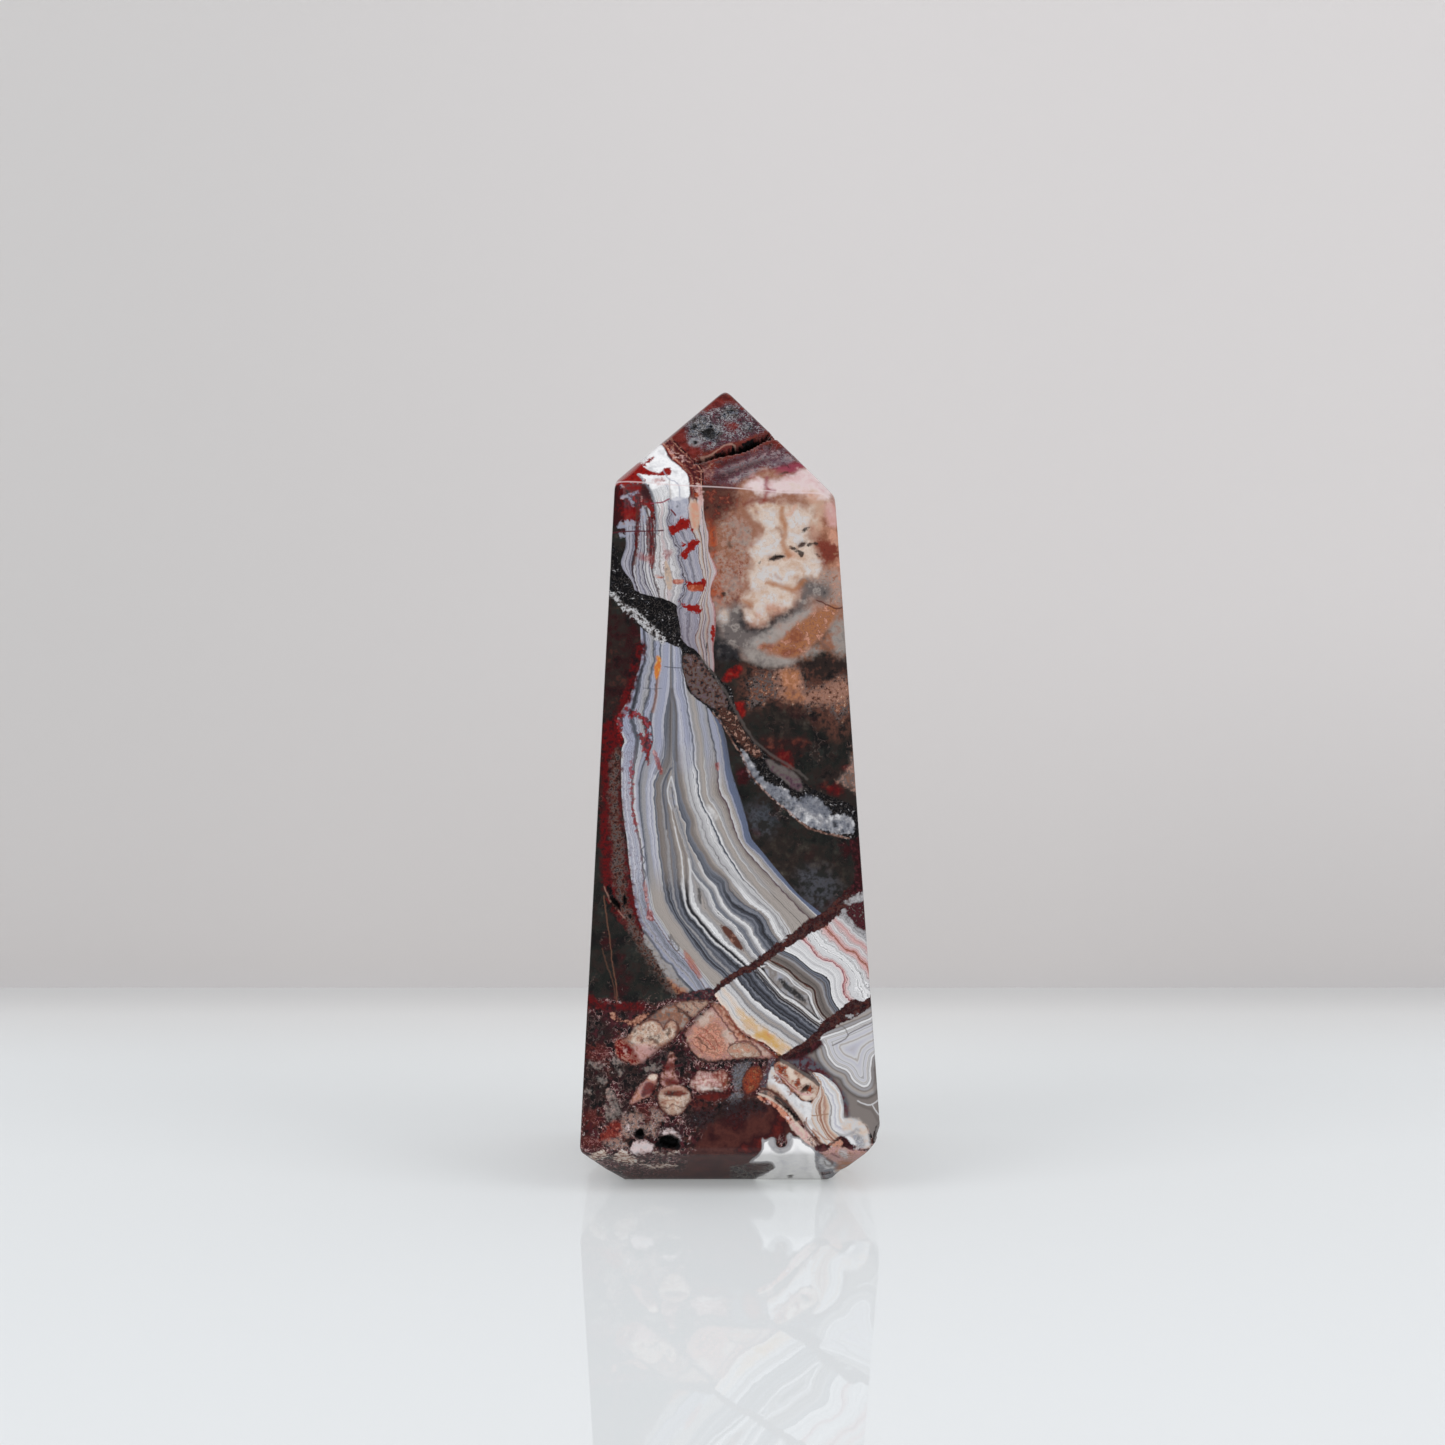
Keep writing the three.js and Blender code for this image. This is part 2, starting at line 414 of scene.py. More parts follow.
# %% [markdown]
# ## Pits, a chip and the open crack
#
# Agate keeps small hollows where a seam never closed. The ground flats cut some of them open. Each hollow is
# a rounded lump taken away, so a skin point inside a lump moves inwards until it meets the lump's far wall.
# The crack is a drawn outline, and the skin inside it sinks. Real depth matters here: a painted pit would
# stay flat when the light moves.

# %% Carve the skin
CRACK_DEPTH = 1.9
CRACK_WALL = 0.3
CRACK_FADES = (3.5, 9.0)  # depth behind the front, in millimetres, over which the crack closes
LUMP_SWELL = 0.25  # how uneven the wall of a hollow is
CRACK_OUTLINE = (
    "692 464, 699 458, 716 453, 727 448, 736 445, 750 441.5, 759 435.5, 768 432.5, 784 428, 784 437, "
    "768 440, 759 444.5, 749 450, 738 453.5, 720 457, 705 461.5"
)
HOLLOWS = [
    ((-10.2, -16.9, 7.05), (0.5, 1.0, 0.45), 20),
    ((-7.1, -17, 6.1), (1.35, 1.3, 0.7), 12),
    ((-12.95, -15.15, 33.2), (0.45, 0.7, 0.95), -35),
    ((-11.9, -15.15, 33.7), (0.3, 0.6, 0.6), -20),
    ((6.3, -16.75, 9.9), (2.3, 0.8, 0.24), 41),
    ((8.6, -16.55, 12.2), (0.8, 0.6, 0.35), -40),
    ((5.5, -12.6, 72.1), (1.2, 0.6, 0.28), -15),
    ((8.3, -12.5, 73.6), (0.9, 0.6, 0.3), -30),
    ((7.5, -8.45, 82.85), (0.35, 0.8, 0.3), 0),
    ((-15.2, 4, 34), (0.9, 1.6, 0.8), 25),
    ((15.6, 6.5, 24), (0.8, 1.4, 0.6), -20),
    ((3.5, 14.6, 36), (1.5, 1.0, 0.7), 30),
    ((-6, 13.2, 57), (0.9, 0.8, 0.6), -15),
    ((17.65, -16.5, 6.6), (1.35, 2.6, 2.0), 0),
]


def soft_step(value, low, high):
    """Zero below low, one above high, and an S-shaped rise between them."""
    t = np.clip((value - low) / (high - low), 0, 1)
    return t * t * (3 - 2 * t)


def sunk_by(points, normals, centre, half, turn):
    """How far a point inside a lump has to sink along its normal to reach the lump's far wall."""
    angle = np.radians(turn)
    spin = np.array([[np.cos(angle), 0, np.sin(angle)], [0, 1, 0], [-np.sin(angle), 0, np.cos(angle)]])
    start = ((points - centre) @ spin) / half
    step = (-normals @ spin) / half
    a = (step * step).sum(1)
    b = (start * step).sum(1)
    c = (start * start).sum(1) - 1 + LUMP_SWELL * swell(points, wavelength=1.3, seed=5)
    root = np.sqrt(np.maximum(b * b - a * c, 0))
    return np.where(c < 0, (root - b) / a, 0)


crack = shape(CRACK_OUTLINE)
crack_open = soft_step(crack, 0, CRACK_WALL) * (1 - soft_step(DEPTH, *CRACK_FADES))
sink = crack_open * CRACK_DEPTH
for centre, half, turn in HOLLOWS:
    sink = np.maximum(sink, sunk_by(SKIN, NORMALS, centre, half, turn))
CARVED = SKIN - NORMALS * sink[:, None]
print("points carved:", int((sink > 0.05).sum()), "deepest:", round(float(sink.max()), 2), "mm")

# %% Make the mesh
def closed_skin(name, points, rows, columns):
    """A mesh from rows of points round the axis, closed by a fan to the last two points, foot and tip."""
    row = np.arange(rows - 1)[:, None] * columns
    column = np.arange(columns)[None]
    beside = (column + 1) % columns
    quads = np.stack([row + column, row + beside, row + columns + beside, row + columns + column], -1)
    ring = np.arange(columns)
    turned = (ring + 1) % columns
    last = (rows - 1) * columns
    foot_fan = np.stack([np.full(columns, rows * columns), turned, ring], -1)
    tip_fan = np.stack([np.full(columns, rows * columns + 1), last + ring, last + turned], -1)
    faces = quads.reshape(-1, 4).tolist() + foot_fan.tolist() + tip_fan.tolist()
    mesh = bpy.data.meshes.new(name)
    mesh.from_pydata((points * MM).tolist(), [], faces)
    mesh.polygons.foreach_set("use_smooth", np.ones(len(faces), bool))
    piece = bpy.data.objects.new(name, mesh)
    bpy.context.collection.objects.link(piece)
    return piece


stone = closed_skin("lace_agate_tower", CARVED, ROWS, COLUMNS)
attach(stone, "root")
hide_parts("tower")
print("triangles:", sum(len(p.vertices) - 2 for p in stone.data.polygons))

# %% [markdown]
# ## A small language for the finish
#
# One material holds every mineral. It is a stack: the dark matrix lies at the bottom, and each marking is
# mixed over what is below it through a mask. The helpers below each make one node and hand back its output,
# so that a marking reads as one line. Colours are named once, in the way a lapidary would name them.

# %% Palette
PALETTE = {
    "soot": (22, 20, 21), "charcoal": (44, 43, 46), "umber": (45, 35, 32), "bottle": (39, 41, 38),
    "mouse": (98, 90, 86), "dove": (156, 153, 154), "fawn": (166, 157, 150), "taupe": (128, 119, 114),
    "slate": (84, 86, 95), "steel": (120, 122, 130), "lavender": (155, 157, 175),
    "rim blue": (98, 106, 128), "milk": (204, 202, 202), "white": (228, 226, 225), "cream": (226, 208, 192),
    "peach": (216, 168, 140), "salmon": (200, 128, 104), "tan": (158, 122, 98), "terracotta": (150, 88, 66),
    "cocoa": (92, 58, 48), "rust": (164, 74, 42), "orange": (196, 104, 50), "ochre": (204, 156, 72),
    "brick": (132, 48, 38), "ox blood": (98, 16, 18), "scarlet": (136, 22, 18), "maroon": (51, 20, 22),
    "wine": (82, 36, 42), "plum": (92, 66, 76), "raspberry": (140, 62, 76), "rose": (206, 160, 156),
    "pink white": (224, 204, 202), "black": (12, 11, 12), "moss": (32, 33, 30), "olive": (66, 58, 50),
    "oxide": (106, 34, 28), "bark": (84, 44, 38), "buff": (194, 168, 148), "clay": (146, 98, 76),
    "dust": (168, 128, 112), "sand": (196, 164, 142), "shell": (212, 193, 178), "flesh": (202, 146, 122),
    "smoke": (104, 95, 92), "haze": (150, 140, 133), "amber": (166, 108, 70), "ember": (120, 56, 44),
    "mist": (160, 161, 174), "pearl": (190, 188, 196), "snow": (246, 244, 242),
}


def linear(colour):
    """A named colour as linear light, by the standard display curve."""
    c = np.array(PALETTE[colour]) / 255
    return (*np.where(c <= 0.04045, c / 12.92, ((c + 0.055) / 1.055) ** 2.4), 1.0)


print("palette:", len(PALETTE), "colours")

# %% Nodes for colours and clouds
tree = None  # the node tree that new nodes go into
base = None  # the stone's colour so far
PLACE = None  # the output that gives a point's place on the stone, in metres
GRAINS = {}
GRAIN_SIZES = (0.26, 0.42, 0.65, 1.0, 1.7, 3.0, 5.0)  # few, as the renderer works each out once
FINEST_GRAIN = 0.07
LAYERS = []
FIELDS = {}  # three stored numbers at a time share one attribute, which is read faster than three


def put(kind, settings=None, **inputs):
    """Adds a node. Settings are its own properties. Inputs are values, colour names or other outputs."""
    node = tree.nodes.new("ShaderNode" + kind)
    for name, value in (settings or {}).items():
        setattr(node, name, value)
    for name, value in inputs.items():
        socket = node.inputs[int(name[1:])] if name[0] == "_" else node.inputs[name.replace("_", " ")]
        if isinstance(value, bpy.types.NodeSocket):
            tree.links.new(value, socket)
        elif isinstance(value, str):
            socket.default_value = linear(value)
        else:
            socket.default_value = value
    return node


def calc(operation, a, b=0.0, c=0.0):
    """One step of arithmetic"""
    return put("Math", {"operation": operation}, _0=a, _1=b, _2=c).outputs[0]


def rise(value, low, high):
    """Zero below low, one above high, and an S-shaped rise between them."""
    s_shaped = {"interpolation_type": "SMOOTHSTEP", "clamp": False}
    return put("MapRange", s_shaped, Value=value, From_Min=low, From_Max=high).outputs[0]


def over(below, above, mask):
    """One colour laid over another through a mask"""
    node = put("Mix", {"data_type": "RGBA"}, _0=mask, _6=below, _7=above)
    return node.outputs[2]


def ramp(value, stops):
    """Colours along a number. Stops are pairs of a place between 0 and 1 and a colour name."""
    node = put("ValToRGB", Fac=value)
    elements = node.color_ramp.elements
    while len(elements) < len(stops):
        elements.new(0.5)
    for element, (place, colour) in zip(elements, stops):
        element.position = place
    for element, (place, colour) in zip(elements, stops):
        element.color = linear(colour)
    return node.outputs[0]


def grain(size, detail=None):
    """
    Cloudy value about one half, with lumps of about the given size in millimetres. Its detail stops at the
    finest lump that a picture can show. Equal grains share one node.
    """
    size = min(GRAIN_SIZES, key=lambda standard: abs(np.log(standard / size)))
    detail = detail or min(4.0, float(np.log2(size / FINEST_GRAIN)))
    if (size, detail) not in GRAINS:
        node = put("TexNoise", Vector=PLACE, Scale=1 / (size * MM), Detail=detail, Roughness=0.6)
        GRAINS[size, detail] = node.outputs[0]
    return GRAINS[size, detail]


def mottle(size, colours, contrast=1.0):
    """A cloudy mix of colours, given darkest place first"""
    names = colours.split(", ")
    places = 0.5 + (np.linspace(0, 1, len(names)) - 0.5) * 0.4 / contrast
    return ramp(grain(size), list(zip(places, names)))


def threads(size, width=0.014):
    """One along thin wandering lines, where a grain passes its middle value"""
    off_middle = calc("ABSOLUTE", calc("SUBTRACT", grain(size), 0.5))
    return calc("SUBTRACT", 1.0, rise(off_middle, 0.2 * width, width))


def cracked(colour, dark, size, width, strength):
    """A colour with thin wandering lines of another one in it"""
    return over(colour, dark, calc("MULTIPLY", threads(size, width), strength))


print("grain sizes, mm:", GRAIN_SIZES)

# %% Numbers stored on the stone
def read(name):
    """The output that reads a stored number"""
    pack, part = divmod(list(FIELDS).index(name), 3)
    three = put("Attribute", {"attribute_name": f"fields {pack}"}).outputs["Color"]
    return put("SeparateColor", Color=three).outputs[part]


def field(name, values):
    """Keeps a number for each grid point, and hands back the output that reads it."""
    while name in FIELDS:
        name += " again"
    FIELDS[name] = values
    return read(name)


def store_fields():
    """Writes all kept numbers to the mesh, three to an attribute."""
    numbers = list(FIELDS.values())
    for pack in range(0, len(numbers), 3):
        three = np.zeros((len(ACROSS), 3), np.float32)
        for part, values in enumerate(numbers[pack : pack + 3]):
            three[:, part] = values
        attribute = stone.data.attributes.new(f"fields {pack // 3}", "FLOAT_VECTOR", "POINT")
        attribute.data.foreach_set("vector", three.ravel())


def wobbly(distance, amount, size, detail=2.0):
    """A distance whose line wanders by the given amount, in lumps of the given size"""
    if amount == 0:
        return distance
    return calc("MULTIPLY_ADD", calc("SUBTRACT", grain(size, detail), 0.5), amount * 4, distance)


def mask_of(name, values, edge=0.12, wobble=0.12, size=0.9):
    """One inside the drawn line, zero outside it, with an uneven border"""
    return rise(wobbly(field(name, values), wobble, size), -edge, edge)


def union(*outlines):
    """Signed distance to several outlines at once: the largest of theirs"""
    return np.max([shape(points) for points in outlines], axis=0)


print("numbers stored so far:", len(FIELDS))

# %% Layers
def open_tree(new_tree):
    """Makes a node tree the current one, with its own place output"""
    global tree, PLACE
    tree = new_tree
    GRAINS.clear()
    PLACE = put("TexCoord").outputs["Object"]


def close_layer():
    """Hands the colour so far out of the current layer."""
    sink = tree.nodes.new("NodeGroupOutput")
    tree.links.new(base, sink.inputs[0])


def open_layer(name):
    """Starts the next layer: a node group that takes the colour below it and hands back its own."""
    global base
    if LAYERS:
        close_layer()
    group = bpy.data.node_groups.new(name, "ShaderNodeTree")
    group.interface.new_socket("Below", in_out="INPUT", socket_type="NodeSocketColor")
    group.interface.new_socket("Colour", in_out="OUTPUT", socket_type="NodeSocketColor")
    LAYERS.append(group)
    open_tree(group)
    base = tree.nodes.new("NodeGroupInput").outputs[0]


def tell():
    """Prints how far the finish has come."""
    print(f"{LAYERS[-1].name}: {len(tree.nodes)} nodes, {len(FIELDS)} stored numbers so far")


print("layers so far:", len(LAYERS))

# %% [markdown]
# ## The dark matrix
#
# Under everything lies jasper: quartz stained almost black, with clouds of bottle green, brown and dull red.
# Clouds of three sizes are laid over each other. A single cloud texture would look like paint.

# %% Matrix
open_layer("dark matrix")
base = mottle(3.0, "soot, umber, moss, soot, umber", 1.1)
base = over(base, mottle(1.0, "soot, umber, bottle, olive", 0.75), rise(grain(1.7), 0.46, 0.62))
base = over(base, mottle(0.65, "soot, maroon, maroon, wine"), rise(grain(5.0), 0.57, 0.66))
base = over(
    base, mottle(0.42, "cocoa, mouse, dust"),
    calc("MULTIPLY", threads(1.0), rise(grain(3.0), 0.52, 0.66))
)
tell()

# %% Ways to lay a marking
def stain(name, values, colour, edge=0.12, wobble=0.1, size=0.9, strength=1.0):
    """Lays a colour over the stone inside a field, and hands back its mask."""
    global base
    mask = mask_of(name, values, edge, wobble, size)
    if strength != 1.0:
        mask = calc("MULTIPLY", mask, strength)
    base = over(base, colour, mask)
    return mask


def patch(name, colour, *outlines, edge=0.1, wobble=0.08, size=0.7, strength=1.0):
    """A stain inside one or more drawn outlines"""
    return stain(name, union(*outlines), colour, edge, wobble, size, strength)


def piece(name, colour, *outlines, rim="bark", shade=0.35, edge=0.07, wobble=0.12, size=0.42):
    """A broken piece: a stain whose colour darkens towards its rim, a painted shade that gives it volume"""
    global base
    distance = wobbly(field(name, union(*outlines)), wobble, size)
    # Painted shade: the rim colour fades out towards the middle, steeply at first and then slowly, so the
    # piece looks rounded.
    deep = calc(
        "MULTIPLY_ADD", rise(distance, 0.2, 1.2), 0.3,
        calc("MULTIPLY", rise(distance, -0.05, shade), 0.7)
    )
    shaded = over(rim, colour, deep)
    base = over(base, shaded, rise(distance, -edge, edge))


def hairline(name, points, width, colour, strength=1.0, edge=0.05, wobble=0.03, where=True):
    """
    A thin drawn line, its width in millimetres. A ridge narrower than a grid step would be lost between two
    grid points. So the signed distance across the line is stored, and the distance to its ends beside it.
    """
    global base
    curve = smooth_curve(points, False)
    distance, side = nearest(ACROSS, DOWN, curve)
    start = (curve[1] - curve[0]) / np.hypot(*(curve[1] - curve[0]))
    end = (curve[-2] - curve[-1]) / np.hypot(*(curve[-2] - curve[-1]))
    from_start = (ACROSS - curve[0, 0]) * start[0] + (DOWN - curve[0, 1]) * start[1]
    from_end = (ACROSS - curve[-1, 0]) * end[0] + (DOWN - curve[-1, 1]) * end[1]
    across = wobbly(field(name, np.where(side > 0, -distance, distance) * PIXEL), wobble, 0.6)
    inside = rise(calc("SUBTRACT", width / 2, calc("ABSOLUTE", across)), -edge, edge)
    ends = np.where(where, np.minimum(from_start, from_end) * PIXEL, -FAR)
    length = rise(field(name + " ends", ends), -0.1, 0.15)
    base = over(base, colour, calc("MULTIPLY", calc("MULTIPLY", inside, length), strength))


print("matrix laid in", len(tree.nodes), "nodes")

# %% Bands and lace
RAMP_LIMIT = 32  # a colour ramp holds no more stops


def banded(coordinate, recipe):
    """Colours across a set of bands. The recipe gives places, in bands from the first wall, and colours."""
    stops = [(float(item.split(" ", 1)[0]), item.split(" ", 1)[1]) for item in recipe.split(", ")]
    colour = None
    for first in range(0, len(stops) - 1, RAMP_LIMIT - 2):
        part = stops[first : first + RAMP_LIMIT]
        low, high = part[0][0], part[-1][0]
        scaled = calc("DIVIDE", calc("SUBTRACT", coordinate, low), high - low)
        piece = ramp(scaled, [((place - low) / (high - low), name) for place, name in part])
        colour = piece if colour is None else over(colour, piece, calc("GREATER_THAN", coordinate, low))
    return colour


def laced(colour, coordinate, lines, strength):
    """
    Fine lines along the bands: their brightness wanders across the bands but not along them. A second, finer
    one adds thin dark lines wherever it is high.
    """
    one_way = {"noise_dimensions": "1D"}
    line_place = calc("MULTIPLY", coordinate, lines)
    fine = put("TexNoise", one_way, W=line_place, Detail=4.0, Roughness=0.75).outputs[0]
    pencil_place = calc("MULTIPLY", line_place, 1.7)
    pencil = put("TexNoise", one_way, W=pencil_place, Detail=1.0).outputs[0]
    value = calc("MULTIPLY_ADD", calc("SUBTRACT", fine, 0.5), 5 * strength, 1.0)
    value = calc("MULTIPLY_ADD", rise(pencil, 0.6, 0.68), -2.2 * strength, value)
    return put("HueSaturation", Value=value, Color=colour).outputs[0]


print("most stops in one ramp:", RAMP_LIMIT)

# %% [markdown]
# ## The great ribbon
#
# Lace agate grows inwards from the walls of an open seam, one thin layer after another, so a layer's place
# is told by the layers beside it. Guide lines follow the layers that stand out, from wall to wall. Between
# two guides the band coordinate rises from one whole number to the next, and a colour ramp turns it into
# lavender, slate, milk and fawn. Where two guides meet in a point, the layers close round a core by
# themselves, as they do in the stone.

# %% Ribbon guides
RIBBON_GUIDES = [
    "640 620, 641 660, 635 679, 629 698, 617 719, 619 730, 624.5 741, 621.4 752, 621.4 790, "
    "623.8 821, 626.8 838, 628.9 862, 632.4 888, 636.5 913, 646 935.5, 664 960, 679 975, 699 996",
    "643 630, 644 660, 640.8 667, 637.5 686, 632 707, 632 722, 637 738, 636 755, 633 776, 632.5 800, "
    "635 821, 641.6 844, 644 872, 645 890, 649 908, 655 919, 672 944, 690 965, 704 986",
    "661 630, 660.4 660, 657 681, 656 697, 652 714, 650.8 724, 652.6 742, 644 762, 640.5 774, "
    "639 790, 640 811, 642.7 831, 645.5 860, 648.5 885, 653 909, 664 927, 676 945, 692 962, 708 981",
    "664 630, 664 660, 662 681, 660.5 697, 658 714, 656.5 730, 656 745, 652 758, 647.5 772, "
    "644.5 791, 646.3 825, 649.3 842, 653 872, 659 906, 668 923, 684 944, 698 961, 714 979",
    "671 640, 671 675, 670.4 686, 668.4 701, 665.3 711, 664.3 727, 665.3 742, 664 757, 657.5 775, "
    "654.2 786, 655.4 811, 659 852, 663 880, 667 901, 677.8 921, 690 940, 705 960, 725 978",
    "671.2 640, 671.2 680, 671.4 697, 672 722, 671.4 757, 669 769, 663.5 782, 663 800, 666 822, "
    "669.2 852, 672.7 891, 679.8 915, 697 936, 713.5 958, 731 974",
    "671.4 640, 671.4 700, 672 757, 671 776, 671.5 808, 675 827, 681.8 860, 685.9 904, 698 922, "
    "713.5 940, 729 953, 747 969",
    "671.6 640, 671.7 700, 672.2 757, 672.2 800, 678 825, 684 842, 689 859, 690.5 880, 692.6 904, "
    "706 923, 721.6 941, 737 954, 750 967.5",
    "671.8 640, 671.9 700, 672.4 757, 673.5 795, 679 822, 685 840, 690 859, 693 873, 708.4 890.6, "
    "715.5 908, 731.8 923, 744 938, 754 954, 762 962",
    "672 640, 672 700, 672.6 760, 674.8 790.6, 680 816, 685 823.5, 687 840, 699 862, 707 879, "
    "716 887, 722 901, 731.8 914, 748 925, 755 939, 768 955",
    "672.2 640, 672.3 689, 676 707, 676 742, 677.6 773, 681 791, 684 804, 691.6 820, 691.6 835, "
    "705 855, 711 866, 726.5 880, 728 891, 742 905, 760 913, 769 930, 779 944",
    "673 650, 673.8 689, 678 704, 681.6 737, 684.7 768, 689 798, 696 816, 702 838, 713 858, 725 873, "
    "742 893, 752 905, 768 917, 772 927, 781 940",
    "681 650, 684.7 688, 688.8 711, 691.8 730, 694.5 745, 694 760, 697 773, 699.5 797, 709 816, "
    "716 832, 726 852, 743 878, 763.5 900, 778.8 915, 788 932",
    "692 670, 696 701, 699 722, 702.5 737, 705 770, 709 798, 718 812, 725 828, 736 852, 760 883, "
    "776 899, 798 921",
    "704 690, 708 713, 711 732, 715.3 750, 718 772, 719 791, 728 804, 732 819, 740 841, 755 860, "
    "783 891, 806 915",
    "709 690, 713 715, 719 733, 723.5 762, 727 784, 733 801, 741.6 826, 746 842, 760 855, 784 883, "
    "813 912",
    "716 700, 722 725, 727 743, 731 768, 737 788, 742 803, 747 821, 751 837, 760 849, 783 877, "
    "800 896, 820 912"
]
DARK_VEIN_MIDDLE = (
    "590 560, 612 572, 628 592, 650 614, 672 628, 690 655, 705 687, 725 705, 742 735, 765 770, "
    "800 799, 830 815, 860 828, 880 835"
)
FIRST_RED_VEIN = (
    "560 1010, 620 1005, 660 1000, 697 997, 712 994, 727 981, 742 971, 768 955, 784 945, 800 934, "
    "826 918, 848 897, 864 884, 900 862"
)
SECOND_RED_VEIN = "740 1090, 762 1072, 780 1059, 800 1048, 822 1032, 839 1018, 856 1008, 874 1000, 900 990"

ribbon_place, ribbon_sides = between(RIBBON_GUIDES)
above_dark_vein = beside(DARK_VEIN_MIDDLE)
above_first_vein = beside(FIRST_RED_VEIN)
above_second_vein = beside(SECOND_RED_VEIN)
ribbon_inside = np.minimum.reduce([ribbon_sides[0], -ribbon_sides[-1], -above_dark_vein, above_first_vein])
print("ribbon bands:", len(RIBBON_GUIDES) - 1, "widest:", round(float(ribbon_inside.max()), 1),
      "mm to a wall")

# %% [markdown]
# ## Jasper, crust and clouded quartz
#
# The darker ground is made first, because every later layer grew into it or broke through it. Below the
# lowest vein the stone is a breccia: old pieces, broken and glued again by red jasper. The tip is iron-red
# jasper too. Between them lies smoky quartz with a cloud of tan crust.

# %% Ground colours
open_layer("ground colours")
above_ridge = beside("560 484, 615 484.5, 645 482, 680 485, 720 487, 765 490, 820 493, 831 500, 900 520")
BRECCIA_TOP = (
    "560 998, 590 999, 620 1001, 655 1004, 684 997, 711 997, 727 981, 752 967, 783 945, 809 927, "
    "838 907, 861 886, 910 850"
)
above_breccia = beside(BRECCIA_TOP)
field("down", DOWN)
flecks = mottle(0.4, "soot, cocoa, mouse, fawn, pink white", 0.9)
jasper = mottle(1.7, "soot, maroon, umber, bark, maroon, wine, maroon, soot")
jasper = over(jasper, mottle(0.65, "black, soot, maroon, wine, maroon", 0.85), rise(grain(1.0), 0.42, 0.52))
jasper = over(
    jasper, mottle(0.42, "cocoa, mouse, rose, mouse", 0.9),
    calc("MULTIPLY", threads(0.65, 0.03), rise(grain(1.7), 0.42, 0.5))
)
jasper = over(jasper, flecks, calc("MULTIPLY", rise(grain(0.42), 0.62, 0.7), 0.6))
stain("breccia", -above_breccia, jasper, 0.2, 0.3, 1.5)
tell()

# %% Dark patches
patch("plain jasper", mottle(3.0, "maroon, bark, maroon, oxide"),
      "735 1100, 750 1094, 770 1102, 786 1116, 800 1135, 770 1140, 762 1160, 740 1180, 680 1182, 690 1160, "
      "705 1125, 722 1108", edge=0.6, wobble=0.3)
patch("dark ground", mottle(0.65, "black, soot, umber, soot, maroon", 0.9),
      "584 1014, 600 1018, 612 1030, 606 1046, 584 1050",
      "584 1062, 604 1070, 608 1090, 600 1110, 584 1112",
      "612 1060, 640 1068, 650 1080, 636 1092, 622 1090",
      "604 1118, 616 1112, 622 1098, 634 1098, 628 1108, 612 1124",
      "690 1098, 724 1100, 760 1098, 762 1108, 740 1112, 712 1122, 692 1128, 684 1118", edge=0.6,
      wobble=0.5, strength=0.8)
patch("crust shade", mottle(1.0, "soot, umber, cocoa, umber"),
      "740 668, 770 664, 800 658, 852 668, 856 700, 852 730, 836 740, 815 722, 790 708, 760 708, "
      "742 710", edge=1.0, wobble=0.4)
patch("crust", mottle(0.42, "soot, umber, smoke, cocoa, clay, buff", 0.95),
      "750 679, 761 671, 775 671, 787 666, 800 668, 808 684, 818 686, 828 680, 851 676, 853 700, "
      "846 714, 840 722, 828 708, 815 706, 808 712, 800 702, 782 700, 770 697, 762 704, 746 706, "
      "744 703, 752 697, 748 688", edge=0.55, wobble=0.6, size=0.65, strength=0.9)
patch("tan crust", mottle(0.42, "umber, cocoa, clay, dust, clay, buff", 0.9),
      "776 672, 798 670, 806 690, 820 688, 838 680, 850 684, 850 698, 835 704, 815 704, 800 701, "
      "782 699, 778 690", edge=0.6, wobble=0.5, size=0.65, strength=0.75)
patch("peach crust", mottle(0.65, "cocoa, clay, amber, flesh", 0.9),
      "784 671, 798 671, 799 679, 796 688, 803 695, 801 701, 785 699, 786 690, 782 681", edge=0.4,
      wobble=0.3, strength=0.85)
patch("dark cloud", mottle(1.0, "soot, umber, umber, cocoa"),
      "797 659, 809 657, 823 655, 829 651, 838 658, 850 657, 851 672, 832 671, 823 681, 813 680, "
      "805 670, 798 664", edge=0.5, wobble=0.4)
patch("olive cloud", mottle(1.0, "soot, moss, umber, olive, smoke", 0.75),
      "742 850, 760 832, 800 842, 835 858, 852 880, 836 900, 815 910, 800 900, 775 880, 755 872",
      "762 715, 790 708, 812 716, 800 735, 775 735", edge=1.2, wobble=0.8, size=1.7, strength=0.7)
patch("blue shade", mottle(1.0, "charcoal, bottle, slate, charcoal", 0.9),
      "800 872, 820 868, 836 880, 838 894, 824 906, 808 908, 800 896",
      "748 806, 766 806, 776 822, 764 834, 750 824", edge=1.2, wobble=0.6, size=1.7, strength=0.6)
patch("red shadow", mottle(1.0, "umber, maroon, ember"), "760 741, 785 738, 809 740, 800 754, 774 762",
      "825 783, 841 784, 845 794, 828 793", edge=0.8, wobble=0.5, strength=0.6)
patch("red glow", mottle(1.0, "maroon, ox blood, ember"), "776 751, 789 752, 792 767, 784 766",
      "826 787, 838 785, 842 792, 832 795", "843 768, 848 765, 852 767, 847 771", edge=0.4, wobble=0.25,
      strength=0.8)
patch("red spots", mottle(0.65, "maroon, ox blood, scarlet, brick"),
      "722 679, 727 672, 734 666, 742 667, 741 674, 732 679, 725 682",
      "735 703, 745 702, 744 715, 741 718, 737 709", edge=0.25, wobble=0.2, strength=0.9)
patch("pale edge", mottle(0.65, "cocoa, clay, smoke, dust, dust", 0.8),
      "852 748, 862 748, 862 790, 846 786, 838 780, 846 772, 850 762", edge=0.5, wobble=0.4, strength=0.85)
tell()

